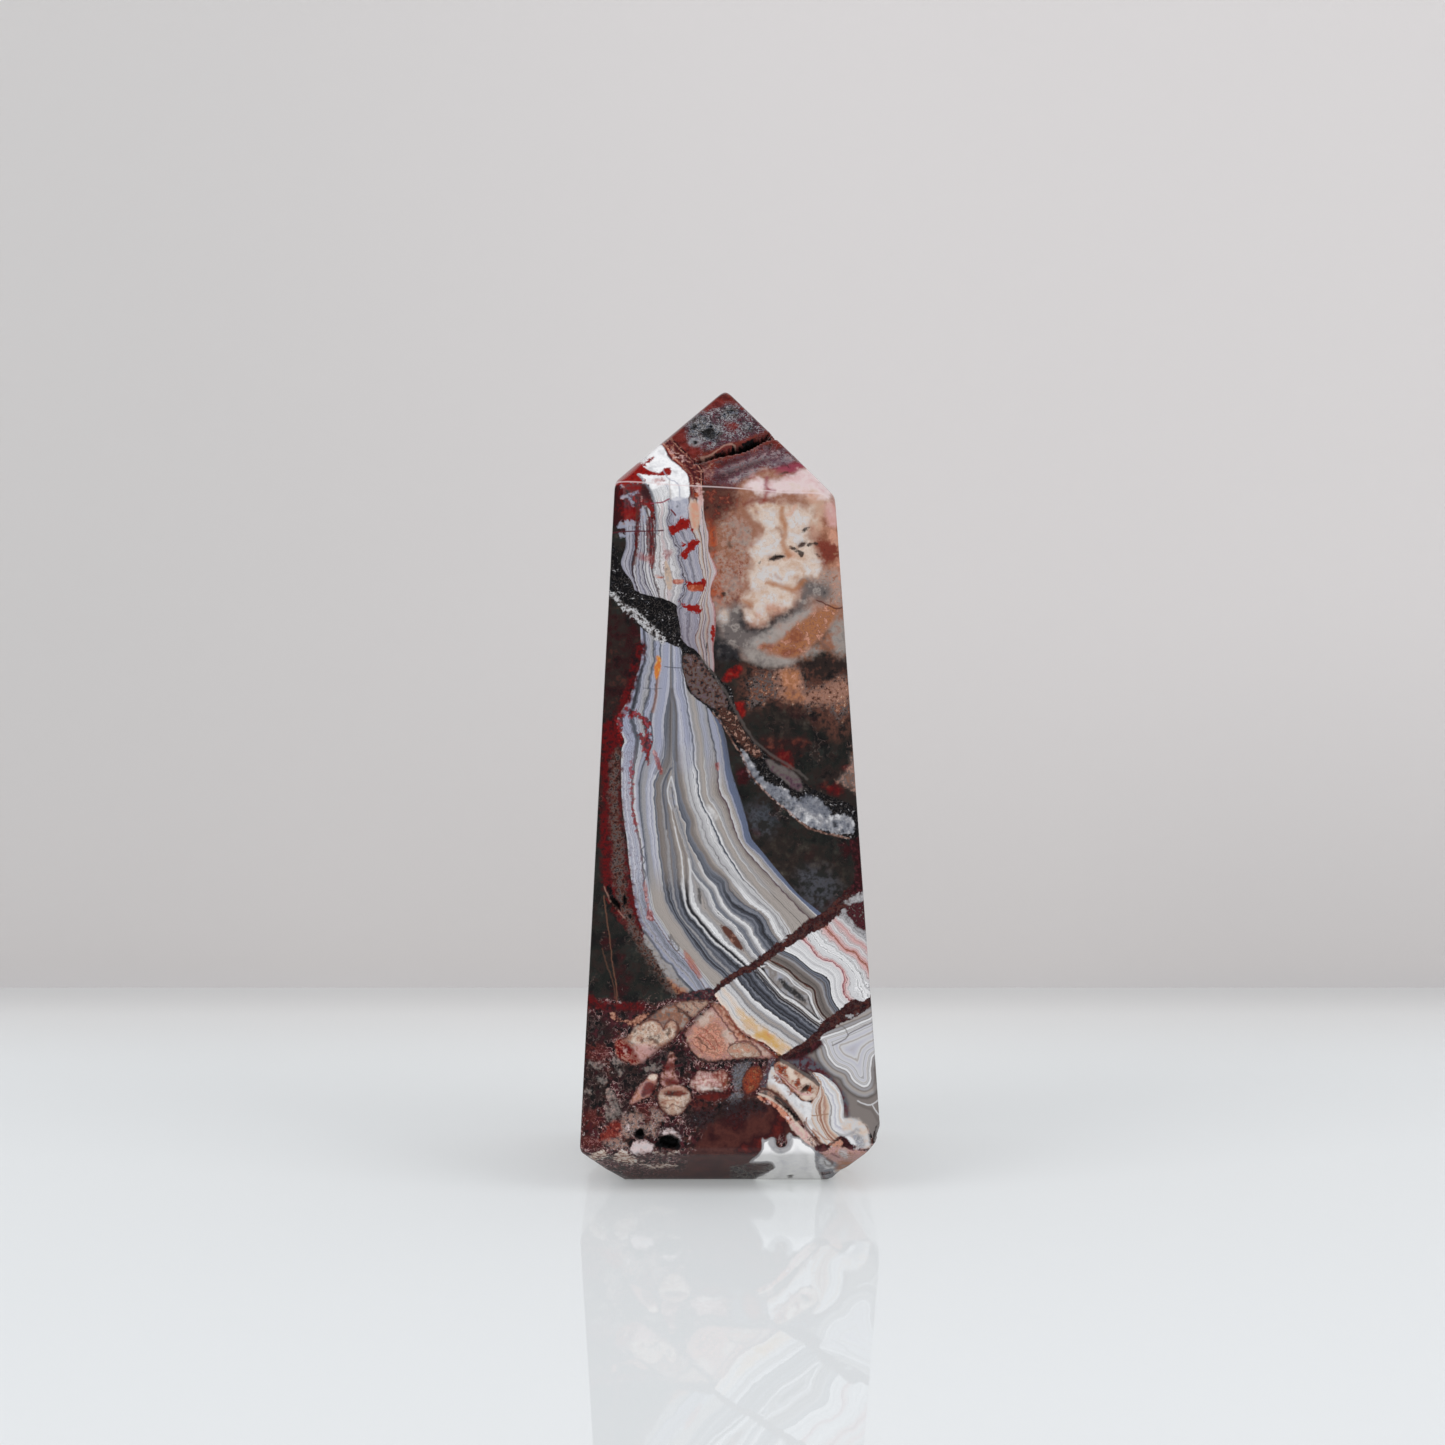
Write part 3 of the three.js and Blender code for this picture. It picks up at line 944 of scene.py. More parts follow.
# %% Tip
tip_rock = mottle(1.7, "maroon, bark, oxide, ember, maroon", 0.9)
tip_rock = over(
    tip_rock, mottle(0.65, "soot, plum, mouse", 0.9), calc("MULTIPLY", rise(grain(1.0), 0.5, 0.6), 0.7)
)
tip_rock = over(
    tip_rock, mottle(0.42, "mouse, dove, rose", 0.9), calc("MULTIPLY", threads(0.65, 0.016), 0.55)
)
stain("tip", above_ridge, tip_rock, 0.1, 0.05)
patch("grey tip", mottle(0.42, "soot, wine, plum, soot, plum, mouse", 0.9),
      "694 416, 706 409, 722 403, 738 406, 752 416, 766 430, 756 437, 738 442, 722 448, 704 447, "
      "688 440, 684 428", edge=0.5, wobble=0.5, strength=0.9)
patch("dark worms", mottle(0.42, "black, steel, black, soot, mouse, black, dove", 1.2),
      "697 417, 704 414, 709 420, 718 424, 722 432, 717 441, 706 440, 698 436, 694 440, 688 434, "
      "690 424", "722 410, 732 406, 738 412, 730 420, 722 418", "744 422, 752 423, 752 430, 745 431",
      edge=0.4, wobble=0.45, size=0.65)
worms = shape(
    "688 424, 700 412, 722 404, 736 403, 752 416, 766 430, 752 438, 734 442, 716 448, 700 446, 686 440"
)
worm_lines = calc("MULTIPLY", threads(0.42, 0.05), rise(grain(1.0), 0.4, 0.5))
base = over(
    base, mottle(0.42, "mouse, dove, pearl", 0.9),
    calc("MULTIPLY", worm_lines, mask_of("light worms", worms, 0.6, 0.3))
)
patch("ink spots", "black", "690 427, 697 425, 696 429, 691 430",
      "701 433, 708 428, 716 432, 714 439, 706 438", "703 419, 707 418, 706 422",
      "716 416, 721 415, 720 418", "691 441, 694 440, 697 443, 694 445", edge=0.15, wobble=0.25,
      size=0.42, strength=0.85)
patch("eye ring", mottle(0.42, "mouse, dove, steel"),
      "688 443, 692 438, 699 439, 702 443, 697 447, 691 447", edge=0.15, wobble=0.1, strength=0.7)
patch("eye", "soot", "692.5 442, 695.5 440.5, 698 442.5, 695.5 444.5", edge=0.1, wobble=0.0)
patch("brick tip", mottle(1.0, "maroon, oxide, brick", 0.9),
      "720 391, 739 405, 728 402, 718 408, 700 412, 706 402",
      "672 433, 684 428, 688 444, 700 449, 695 457, 682 452, 669 440",
      "760 441, 784 425, 792 434, 780 441, 762 440", "727 424, 737 425, 736 431, 728 430", edge=0.35,
      wobble=0.3, strength=0.85)
patch("grey below crack",
      cracked(mottle(0.42, "wine, plum, wine, plum, mouse", 0.8), "dove", 0.42, 0.02, 0.6),
      "716 470, 728 462, 748 455, 770 450, 786 449, 796 458, 783 466, 768 468, 758 470, 750 478, "
      "742 486, 722 488, 712 482", edge=0.6, wobble=0.45, strength=0.85)
patch("pale streaks", mottle(0.42, "plum, dove, rose", 0.85),
      "722 470, 745 461, 770 454, 782 452, 770 458, 748 466, 726 475",
      "730 479, 752 470, 776 462, 782 463, 758 474, 734 483", "700 470, 708 468, 712 474, 704 478",
      "786 455, 794 459, 788 462, 780 460", edge=0.35, wobble=0.45, size=0.42, strength=0.6)
patch("dark streaks", mottle(0.42, "soot, maroon, wine"),
      "714 476, 738 466, 762 459, 768 460, 744 470, 722 481",
      "716 462, 736 458, 752 452, 742 460, 722 467", "704 484, 716 483, 722 488, 708 489", edge=0.35,
      wobble=0.4, size=0.42, strength=0.7)
patch("lilac", mottle(0.65, "plum, plum, dove", 0.9),
      "770 463, 778 459, 790 459, 792 463, 784 467, 774 467", edge=0.5, wobble=0.3, strength=0.75)
patch("raspberry", mottle(1.0, "wine, raspberry, raspberry, rose"),
      "750 477, 765 471, 783 466, 797 462, 801 461, 807 469, 799 473, 789 475, 786 478, 775 480, "
      "768 483, 766 489, 764 489, 765 479, 756 480", edge=0.35, wobble=0.2)
patch("salmon vein", mottle(0.42, "maroon, oxide, ember, clay, dust", 0.85),
      "661.6 441.6, 668 439, 676 451.4, 684.8 456.8, 694.6 460.4, 694.6 465.7, 698 473, 693.8 483.6, "
      "693 495, 689.3 492.5, 690 478, 684.8 469.3, 676.8 460.4, 668.8 455, 662.5 445",
      "693.8 466.6, 711.6 465.7, 711.6 474.6, 702.7 478, 694.6 476.4", edge=0.3, wobble=0.3, size=0.42,
      strength=0.7)
patch("black under crack", "soot", "693 464, 705 459, 707 461, 703 464, 696 465", edge=0.25, wobble=0.2,
      strength=0.8)
patch("crack rust", mottle(0.42, "maroon, oxide, ember, maroon", 0.9),
      "700 456, 716 448, 730 444, 742 440, 758 434, 770 430, 776 436, 768 444, 754 448, 742 455, "
      "728 458, 712 461, 700 461", edge=0.2, wobble=0.2, size=0.42, strength=0.8)
patch("crack black", "black",
      "733 443, 738 445.5, 748 440.5, 758 437.5, 768 433, 772 436.5, 768 440, 758 444.5, 750 449.5, "
      "740 452.5, 730 451.5, 716 456, 708 458.5, 700 458.5, 703 457, 712 454.5, 722 450.5, 731 448",
      edge=0.1, wobble=0.12, size=0.42)
hairline("crack lip", "700 457.5, 710 454.5, 718 450, 724 445.5, 731 444, 736 446", 0.14, "dust", 0.8,
         0.08, 0.08)
hairline("small crack", "777 476.4, 784.3 473, 788.8 472.4", 0.2, "soot", 0.85, 0.08, 0.08)
tell()

# %% [markdown]
# ## Cream breccia
#
# High on the right, rounded cream lumps lie in tan and rose. They are old shell-like crusts, clouded by
# quartz and stained by iron, so most borders here are soft. First come the wide warm and grey clouds, then
# the lumps, and last the brown joints and the few open black cracks, which are the only sharp things.

# %% Warm and grey clouds
open_layer("warm clouds")
patch("warm ground", mottle(1.7, "clay, dust, clay, dust, sand", 0.8),
      "737 487, 745 478, 765 470, 790 474, 807 469, 826 486, 845 497, 850 560, 850 600, 843 612, "
      "818 640, 800 657, 768 662, 745 657, 728 642, 718 625, 712 600, 711 575, 709 540, 711 510, "
      "716 498", edge=0.5, wobble=0.35, size=1.7)
patch("rose dust",
      cracked(mottle(0.65, "ember, clay, clay, dust, clay", 0.8), "bark", 0.65, 0.016, 0.5),
      "709 512, 722 514, 740 514, 750 524, 752 545, 748 566, 744 585, 742 602, 735 608, 722 604, "
      "712 590, 712 550", edge=1.0, wobble=0.35)
patch("clay foot", mottle(0.65, "bark, ember, clay, dust, ember, clay", 0.8),
      "722 566, 736 560, 744 566, 745 580, 742 590, 746 598, 738 606, 726 606, 718 596", edge=0.6,
      wobble=0.4)
patch("rust wall", mottle(0.65, "bark, ember, rust, clay", 0.9),
      "706 512, 714 515, 716 540, 718 560, 722 580, 724 598, 716 604, 711 590, 712 560, 709 535",
      edge=0.35, wobble=0.3)
patch("left granules", mottle(0.42, "umber, ember, clay, dust, haze, sand, clay", 0.75),
      "720 516, 738 516, 750 526, 750 544, 744 560, 734 556, 726 540, 720 530",
      "714 556, 730 560, 740 572, 738 590, 726 600, 716 590",
      "744 548, 752 552, 750 566, 743 574, 740 560", edge=0.8, wobble=0.6, size=1.0, strength=0.6)
patch("left greys", mottle(0.65, "smoke, haze, dust, haze", 0.9),
      "736 520, 746 524, 750 536, 744 548, 736 540, 732 528",
      "728 574, 738 578, 740 590, 732 594, 726 586", "712 600, 726 604, 732 612, 722 616, 712 612",
      edge=0.8, wobble=0.6, size=1.0, strength=0.6)
patch("bark corner", mottle(0.65, "umber, bark, cocoa, bark, ember, clay", 0.85),
      "702 488, 734 489, 738 500, 735 509, 728 513, 722 520, 714 524, 706 518, 703 505", edge=0.9,
      wobble=0.5)
patch("right wall", mottle(1.7, "ember, clay, flesh, dust", 0.8),
      "820 512, 828 516, 840 516, 848 560, 848 600, 838 602, 828 590, 826 570, 819 556, 818 530",
      edge=0.6, wobble=0.4)
patch("ember", mottle(0.65, "bark, ember, ember, clay", 0.9),
      "819 542, 834 543, 839 550, 836 561, 823 562, 818 554", edge=0.4, wobble=0.4, size=0.65)
patch("rose light", mottle(1.7, "flesh, rose, shell", 0.8),
      "825 502, 833 502, 838 512, 839 526, 829 525, 824 514", edge=0.4, wobble=0.2, strength=0.85)
patch("peach light", mottle(1.7, "flesh, sand, flesh", 0.8),
      "804 489, 820 492, 826 503, 822 520, 818 534, 811 528, 815 512, 806 500", edge=0.6, wobble=0.4,
      strength=0.8)
patch("tan side", mottle(0.42, "smoke, clay, haze, dust, sand", 0.8),
      "818 568, 838 572, 846 590, 846 606, 832 604, 820 592, 812 580", edge=0.5, wobble=0.5, size=0.65,
      strength=0.85)
tell()

# %% Grey quartz
patch("grey quartz", mottle(1.0, "charcoal, smoke, smoke, haze, smoke", 0.8),
      "802 578, 822 580, 830 590, 826 600, 812 600, 806 608, 804 616, 792 624, 778 632, 770 642, "
      "750 652, 736 652, 722 642, 716 622, 728 606, 740 604, 744 614, 750 626, 765 626, 780 614, "
      "795 606, 799 592", edge=0.8, wobble=0.5, size=1.7)
patch("grey shade", mottle(1.0, "soot, charcoal, smoke", 0.9),
      "741 612, 746 622, 753 628, 765 628, 770 620, 782 614, 793 611, 790 616, 776 623, 768 631, "
      "752 633, 741 627", "716 640, 734 645, 742 656, 730 660, 718 658", edge=0.5, wobble=0.35,
      strength=0.85)
patch("pale quartz", mottle(1.0, "haze, fawn, dust", 0.9),
      "750 640, 765 634, 780 624, 800 613, 812 607, 806 622, 795 631, 785 638, 770 645, 752 648",
      edge=0.5, wobble=0.4, strength=0.85)
patch("right quartz", mottle(1.7, "smoke, clay, haze, smoke", 0.8),
      "836 612, 850 606, 854 650, 842 656, 826 650, 812 656, 800 657, 815 645, 828 630", edge=0.8,
      wobble=0.4)
patch("grey lens", mottle(1.0, "smoke, haze, fawn", 0.8),
      "742 650, 752 646, 762 650, 775 656, 797 659, 788 665, 770 667, 752 662, 744 657", edge=0.5,
      wobble=0.2)
patch("amber body",
      cracked(mottle(0.65, "ember, clay, amber, clay, flesh, ember", 0.85), "bark", 1.0, 0.012, 0.45),
      "760 646, 765 643, 772 646, 779 641, 786 635, 792 627, 802 620, 814 613, 828 606, 838 606, "
      "834 620, 822 635, 806 650, 795 657, 780 655, 770 650, 762 650", edge=0.4, wobble=0.35)
patch("amber shade", mottle(1.0, "bark, ember, amber", 0.9),
      "784 638, 790 630, 796 629, 803 636, 798 644, 788 641", "762 645, 768 643, 773 647, 765 649",
      "778 650, 792 648, 800 652, 790 656, 780 655", edge=0.35, wobble=0.35, strength=0.6)
tell()

# %% Cream lumps
open_layer("cream lumps")
patch("cream glow", mottle(1.7, "dust, sand, shell, sand, shell", 0.9),
      "750 506, 765 501, 785 504, 800 506, 812 508, 815 520, 806 528, 812 545, 818 560, 821 572, "
      "814 577, 800 578, 794 590, 796 600, 786 608, 770 612, 766 621, 750 621, 745 612, 752 606, "
      "742 598, 752 590, 747 578, 752 566, 752 545, 763 530, 754 518", edge=0.7, wobble=0.45, size=1.0)
cream = cracked(mottle(1.0, "sand, shell, milk, shell", 0.9), "sand", 1.0, 0.02, 0.7)
patch("lumps", cream, "760 512, 775 512, 779 524, 772 527, 762 520",
      "766 532, 778 533, 779 545, 770 554, 757 557, 752 552, 757 542",
      "788 512, 808 514, 805 526, 798 533, 790 528", "789 533, 800 535, 805 540, 799 544, 790 543",
      "756 569, 775 567, 794 567, 796 574, 788 583, 775 584, 754 589, 749 578",
      "756 596, 775 592, 789 593, 792 600, 780 606, 765 606", "748 613, 762 609, 765 618, 750 621",
      "806 562, 819 562, 819 571, 808 574", "752 482, 762 482, 762 492, 754 492", edge=0.45, wobble=0.3,
      size=1.0, strength=0.85)
patch("upper cream", mottle(1.7, "rose, pink white, shell", 0.8),
      "746 486, 756 479, 764 482, 764 490, 770 482, 790 476, 807 470, 826 486, 830 498, 812 496, "
      "790 492, 770 496, 758 494", edge=0.45, wobble=0.3, size=1.0, strength=0.9)
patch("small creams", cream, "720 611, 727 610, 729 620, 723 624, 719 618", edge=0.4, strength=0.7)
patch("stains", mottle(1.0, "clay, flesh, sand", 0.9), "756 612, 762 613, 760 618, 755 617",
      "804 491, 812 492, 818 496, 812 500, 806 497", "784 552, 794 553, 796 558, 786 558",
      "768 604, 785 606, 780 612, 768 610", edge=0.5, wobble=0.3, strength=0.6)
STAINS = {
    "740 506, 744 512, 750 520, 757 526, 764 531": (0.6, "clay"),
    "742 505, 752 501, 765 500, 776 502": (0.45, "ember"),
    "769 488, 766 494, 765 500, 758 503": (0.45, "brick"),
    "768 476, 766 484, 768 490, 776 492": (0.4, "raspberry"),
    "783 506, 782 516, 785 524, 785 535, 783 545, 787 552, 791 557": (0.6, "amber"),
    "765 582, 780 586, 793 590, 800 585, 806 579": (0.5, "amber"),
    "742 599, 748 603, 754 607": (0.35, "amber"),
    "775 527, 780 530, 782 538": (0.3, "clay"),
    "796 504, 792 512, 786 516": (0.3, "flesh"),
    "774 574, 782 581": (0.2, "dust"),
    "750 545, 757 541, 762 534": (0.3, "dust"),
    "803 590, 810 594, 818 598": (0.3, "smoke"),
    "730 541, 729 545, 732 548": (0.3, "olive")
}
for number, (points, (width, colour)) in enumerate(STAINS.items()):
    hairline(f"stain {number}", points, width, colour, 0.7, 0.28, 0.12)
patch("open cracks", "umber", "767.5 561.5, 771 557, 776 555, 783 555.5, 785 558, 778 557.5, 775 560",
      "758 562.5, 761 561, 760 564",
      "789 546, 794 547, 799 550, 804 553, 802 557, 799 556, 795 551, 791 549",
      "807 545, 811 542.5, 818 543, 817 545, 813 544.5, 809 547",
      "801 531.5, 806 528, 811 527, 808 530, 803 532.5", "815 552.5, 820 555.5, 818 557",
      "720.5 593.5, 723.5 591.5, 726 595, 722.5 597", edge=0.12, wobble=0.12, size=0.42, strength=0.9)
patch("crack glass", "haze", "771 560, 775 558.5, 776 560, 772 561", edge=0.1, wobble=0.0, strength=0.5)
hairline("side crack", "816 600, 824 603, 830 606, 836 608.5, 848 607", 0.16, "bark", 0.85, 0.07, 0.08)
# A painted highlight: a pale line along the upper right edge of the point.
hairline("edge highlight", "806 469, 816 477, 826 486, 830 494", 0.4, "pink white", 0.7, 0.2, 0.05)
tell()

# %% [markdown]
# ## Upper agate
#
# The seam goes on above the dark vein, narrower and stained by iron, and a painted shade darkens it further
# towards the vein. The same band coordinate is used, with its own guide lines. The red blocks crept in along
# tiny cracks across the bands, so they end on the walls of single layers.

# %% Upper bands
UPPER_GUIDES = [
    "622 470, 624 510, 625.5 535, 625.5 547, 621 562, 624.5 571.6, 631.6 581, 634.7 591, 640 620",
    "630 472, 635 510, 636.7 532, 636.7 547, 632.7 565.5, 634.7 583, 639.8 596, 645 620",
    "634 472, 640 500, 645 535, 643.9 560, 645 575.7, 649 588, 655 600, 660 620",
    "636.7 472.7, 644 484, 650 493, 654 505, 655.6 521.6, 655 548, 653 561.4, 652 570.6, 655 583, "
    "659 600, 664 620",
    "650 445, 657 470, 666 490, 670.4 509.4, 667.9 517.6, 669.4 529, 672.4 537, 678.6 548, "
    "680.6 562, 684.7 574.7, 685.7 585, 682.7 596, 680 604, 677 615, 680 632, 684 650, 690 670",
    "661 444, 665.3 450, 671.4 459.4, 678.6 466.5, 684.7 471.6, 688.8 479, 689.8 486, 689.8 501, "
    "688.8 511.4, 691.8 526.7, 696 537, 699 547, 698.5 557, 702 567.6, 704.5 578, 703.6 590, "
    "699 604.6, 701 613.6, 699 629.6, 695.5 638.6, 699 651, 702 670",
    "668 440, 680 454, 694 466, 698 473, 699 485, 702 501, 703 516.5, 704 526.7, 707 569, 708 586.8, "
    "703.6 603, 705.4 618, 702.7 631.4, 704.5 644.8, 707 661, 708 675",
    "674 440, 690 456, 703 470, 703 490, 704 516, 709 537, 708 547, 711 557, 715 564.5, 717 573.4, "
    "711.6 585, 710.7 595.7, 715 606.4, 716 622.5, 715 636, 713.4 649, 714.3 667, 713 680"
]
UPPER = (
    "0 steel, 0.1 mist, 0.25 pearl, 0.34 steel, 0.42 pearl, 0.6 mist, 0.68 slate, 0.74 mist, "
    "0.88 charcoal, 1.02 charcoal, 1.1 pearl, 1.2 milk, 1.27 steel, 1.33 pearl, 1.48 mist, "
    "1.55 slate, 1.61 pearl, 1.72 milk, 1.78 steel, 1.84 pearl, 1.93 charcoal, 2.0 mist, 2.08 white, "
    "2.22 slate, 2.3 milk, 2.48 white, 2.6 pearl, 2.7 slate, 2.76 white, 2.88 milk, 2.94 slate, "
    "3.03 taupe, 3.1 white, 3.24 milk, 3.29 fawn, 3.34 white, 3.46 pink white, 3.55 milk, 3.59 dove, "
    "3.64 white, 3.84 milk, 3.93 mist, 3.97 charcoal, 4.02 pearl, 4.08 steel, 4.14 mist, 4.3 pearl, "
    "4.42 mist, 4.5 steel, 4.6 pearl, 4.8 mist, 4.93 pearl, 4.98 bark, 5.04 shell, 5.25 milk, "
    "5.36 shell, 5.5 buff, 5.58 cocoa, 5.66 milk, 5.85 pink white, 5.95 dove, 6 plum, 6.06 milk, "
    "6.25 shell, 6.38 dust, 6.46 milk, 6.75 pink white, 6.9 rose, 7 terracotta"
)
UPPER_WHITE = (
    "0 milk, 2.5 dove, 3 milk, 3.05 dove, 3.15 milk, 4 white, 4.3 mist, 4.5 white, 4.75 pearl, "
    "4.9 white, 4.98 mouse, 5.06 wine, 5.2 brick, 5.35 flesh, 5.45 brick, 5.7 maroon, 5.9 clay, "
    "6 brick, 6.3 maroon, 6.6 flesh, 6.7 maroon, 7 maroon"
)
CREST_ENDS = (494.0, 503.0)  # pixels down the drawing, as the next two
IRON_STARTS = (500.0, 520.0)
VEIN_SHADE_DEEPENS = (585.0, 640.0)
IRON_AND_SHADE = 0.24
open_layer("upper agate")
upper_place, upper_sides = between(UPPER_GUIDES)
upper_coordinate = wobbly(wobbly(field("upper bands", upper_place), 0.08, 1.0), 0.04, 0.42)
upper = over(
    banded(upper_coordinate, UPPER_WHITE), banded(upper_coordinate, UPPER),
    rise(read("down"), *CREST_ENDS)
)
upper = laced(upper, upper_coordinate, 5.0, 0.27)
# A plum wash in two steps: a faint iron stain below the white crest, then a painted shade that deepens it
# towards the dark vein.
iron_and_vein_shade = calc(
    "MULTIPLY_ADD", rise(read("down"), *VEIN_SHADE_DEEPENS), IRON_AND_SHADE,
    calc("MULTIPLY", rise(read("down"), *IRON_STARTS), IRON_AND_SHADE)
)
upper = over(upper, "plum", iron_and_vein_shade)
upper_top = beside("560 520, 600 498, 640 458, 655 445, 664 441, 700 430")
upper_inside = np.minimum(
    np.minimum(upper_sides[0], -upper_sides[-1]), np.minimum(-upper_top, above_dark_vein)
)
stain("upper agate", upper_inside, upper, 0.06, 0.0)
patch("beige lens", mottle(0.6, "fawn, buff, taupe"),
      "665 560, 669 566, 672 577, 672 588, 668 589, 665 577", edge=0.12)
patch("white crest", mottle(1.7, "pearl, milk, white, snow, white, white, milk", 0.75),
      "653 449, 662 445, 668 457, 674 462, 682 469, 687 475, 689 484, 688 497, 672 500, 668 484, "
      "662 486, 650 490, 645 482, 638 474, 640 466, 646 461", edge=0.12, wobble=0.08)
patch("grey patch", mottle(0.65, "lavender, mist, pearl, mist", 0.8),
      "671 499, 688 499, 688 518, 680 520, 670 510", edge=0.15, wobble=0.15, strength=0.7)
patch("grey dot", "slate", "676.5 505, 678.5 505, 678 508, 676.5 508", edge=0.12, strength=0.8)
patch("tip vein", mottle(0.42, "maroon, oxide, maroon, wine, ember, dust, oxide", 0.8),
      "664 441, 672 440, 684 452, 694 460, 701 470, 702 481, 695 482, 689 476, 681 464, 671 453",
      "692 481, 697 482, 697 499, 692 500", edge=0.2, wobble=0.35, size=0.42, strength=0.85)
patch("vein lights", mottle(0.42, "dust, rose, shell", 0.9), "669 450, 673 452, 676 457, 672 457",
      "679 456, 684 457, 686 461, 681 460", "694 486, 700 485, 703 494, 702 508, 699 508, 698 496",
      edge=0.2, wobble=0.3, size=0.42, strength=0.75)
patch("peach strip", mottle(0.65, "flesh, flesh, sand, flesh", 0.9),
      "690 503, 698 503, 700 514, 699 525, 694 530, 691 520", edge=0.25, wobble=0.12)
tell()

# %% Red in the upper agate
open_layer("red in the upper agate")
red = mottle(0.45, "ox blood, scarlet, scarlet, brick")
zone_red = mottle(0.7, "maroon, ox blood, maroon, scarlet")
patch("upper red zone", zone_red,
      "612 483, 645 483, 650 491, 653.5 503, 655 515, 655 523, 652 520, 648 508, 643 506, 640 520, "
      "632 524, 625 521, 608 524, 605 500", edge=0.1, wobble=0.25, size=0.42, strength=0.93)
patch("red zone dark", mottle(0.65, "black, soot, maroon, maroon"),
      "604 484, 621 484, 618 492, 622 500, 619 508, 620 523, 603 525",
      "640 486, 648 487, 653 500, 653 512, 648 502, 643 494", edge=0.35, wobble=0.3, size=0.65,
      strength=0.75)
patch("red zone fire", mottle(0.65, "ox blood, scarlet, brick"),
      "624 509, 636 507, 639 513, 634 520, 624 518", "628 486, 640 486, 640 491, 630 490",
      "641 501, 652 504, 653 512, 648 508", edge=0.3, wobble=0.3, size=0.42, strength=0.8)
patch("lavender bars", mottle(0.42, "dust, mist, lavender", 0.9),
      "620 522, 632 521, 640 523, 638 526, 626 527, 619 528",
      "619 533, 628 532, 636 528, 634 532, 624 536, 619 536",
      "641 509, 645 508, 646 521, 643 524, 641 518", edge=0.15, wobble=0.25, size=0.42, strength=0.8)
patch("white ticks", mottle(0.42, "dust, rose"), "621 484, 623 484, 623.5 488, 621.5 488",
      "620.5 498, 626 494.5, 627.5 495.5, 622 499", "640 494, 642 497, 640.5 501",
      "632 472, 634.5 472, 634 477, 632 476", edge=0.12, wobble=0.15, size=0.42, strength=0.8)
hairline("red zone seam", "626 490, 631 498, 636.5 508", 0.2, "charcoal", 0.7, 0.1, 0.1)
hairline("brown stripe one", "637 506, 637.5 520, 637 533, 636.5 545, 635 560, 633 566", 0.3, "bark",
         0.8, 0.12, 0.12)
hairline("brown stripe two", "646.5 506, 649 520, 650 532, 651 545, 650 556", 0.28, "maroon", 0.85, 0.1,
         0.12)
hairline("brown stripe three", "651.5 512, 653 525, 653 540, 653.5 552", 0.22, "bark", 0.8, 0.1, 0.1)
patch("red stripes", zone_red, "636 522, 640 520, 639 545, 636 556, 635 540",
      "647 520, 654 520, 654 560, 650 568, 647 540", edge=0.1, wobble=0.25, size=0.35, strength=0.75)
patch("red blocks", red,
      "669 525, 673 524.5, 677 523, 679 520, 681.4 517, 685 519, 689.5 518, 689.5 523, 693 529, "
      "694 532, 690.5 530.5, 686 528.5, 681 531, 676 534, 672 535.5, 670 531",
      "680 544, 688 542, 698 540, 700 543, 692 550, 689 552, 688 557, 682 560, 680.5 554, 685 551, "
      "687 546, 680.5 547.5", "685.5 581, 695 582, 704.5 579, 704.5 591, 695 590, 687 588",
      "680 601.5, 686 604.5, 699 606, 701 612, 694 613, 683 606.5",
      "634 465.5, 638.5 462, 645.5 465, 642 469, 638.5 471, 630 470",
      "616 483, 634 466, 637.5 474, 644 483", "711 628, 714 627, 714.5 640, 711.5 641", edge=0.1,
      wobble=0.28, size=0.42)
patch("red crest", red,
      "631 464, 640 463, 645 468, 652 471.5, 660 472.5, 664 469, 669 466.5, 671 469, 668 474.5, "
      "660 475.5, 648 475, 638 474, 634 480, 626 484, 616 484, 624 474",
      "668 471, 671.5 471, 669 476, 667 475", "650 458, 654 457, 652 461, 645 463", edge=0.1,
      wobble=0.12, size=0.42)
patch("red whisper", mottle(0.42, "raspberry, rose, brick"),
      "652 481, 657 478.5, 666 478.5, 662 481, 655 482.5", "656 483, 661 482.5, 664 484, 657 485",
      edge=0.2, wobble=0.2, size=0.42, strength=0.7)
patch("orange blocks", mottle(0.42, "brick, rust, salmon"), "673 580, 683 579.5, 683 583.5, 674 584.5",
      "694 493, 698 493, 698.5 497, 694.5 496", "687 586, 702 585, 702 590, 690 591",
      "655 575, 664 577, 663 579, 655 577", edge=0.1, wobble=0.1, strength=0.85)
patch("red blush", mottle(0.4, "raspberry, brick, rose"), "638 553, 655 556, 653 564, 645 562, 640 558",
      "664 552, 672 550, 671 556, 665 558", edge=0.25, wobble=0.25, strength=0.6)
patch("dark slit", "soot", "706.5 643, 708 645, 707.8 656, 706.3 653", edge=0.07)
patch("pale crosses", mottle(0.3, "wine, lavender, dove"),
      "620 496, 628 494, 637.5 490.5, 638 493, 628 497, 621 498.5",
      "629 496, 632 499, 634.5 506, 632 506, 629 500", "620 484, 623 486, 621 489", edge=0.12,
      wobble=0.12, size=0.4, strength=0.8)
hairline("crossing one", "650 503.5, 656 503, 662.5 502.3, 667 500, 670 498.8", 0.16, "raspberry", 0.9)
hairline("crossing two", "612 533, 625 531.5, 650 531, 664 530.3", 0.16, "wine", 0.9)
hairline("crest line one", "637.5 474, 645 482, 651 492, 655 504, 657 518, 657 535", 0.22, "steel",
         0.75, 0.12, 0.08)
hairline("crest line two", "670 478, 669.5 488, 671 500", 0.16, "fawn", 0.7, 0.12, 0.08)
hairline("crest line three", "663 470, 668 478, 678 484, 680 497", 0.14, "mist", 0.8, 0.1, 0.08)
hairline("crossing three", "670.4 509.4, 673 512, 676 516", 0.2, "ox blood", 0.9)
FRONT_EDGE = -10.0  # millimetres: the front flat and its upper edge lie before this
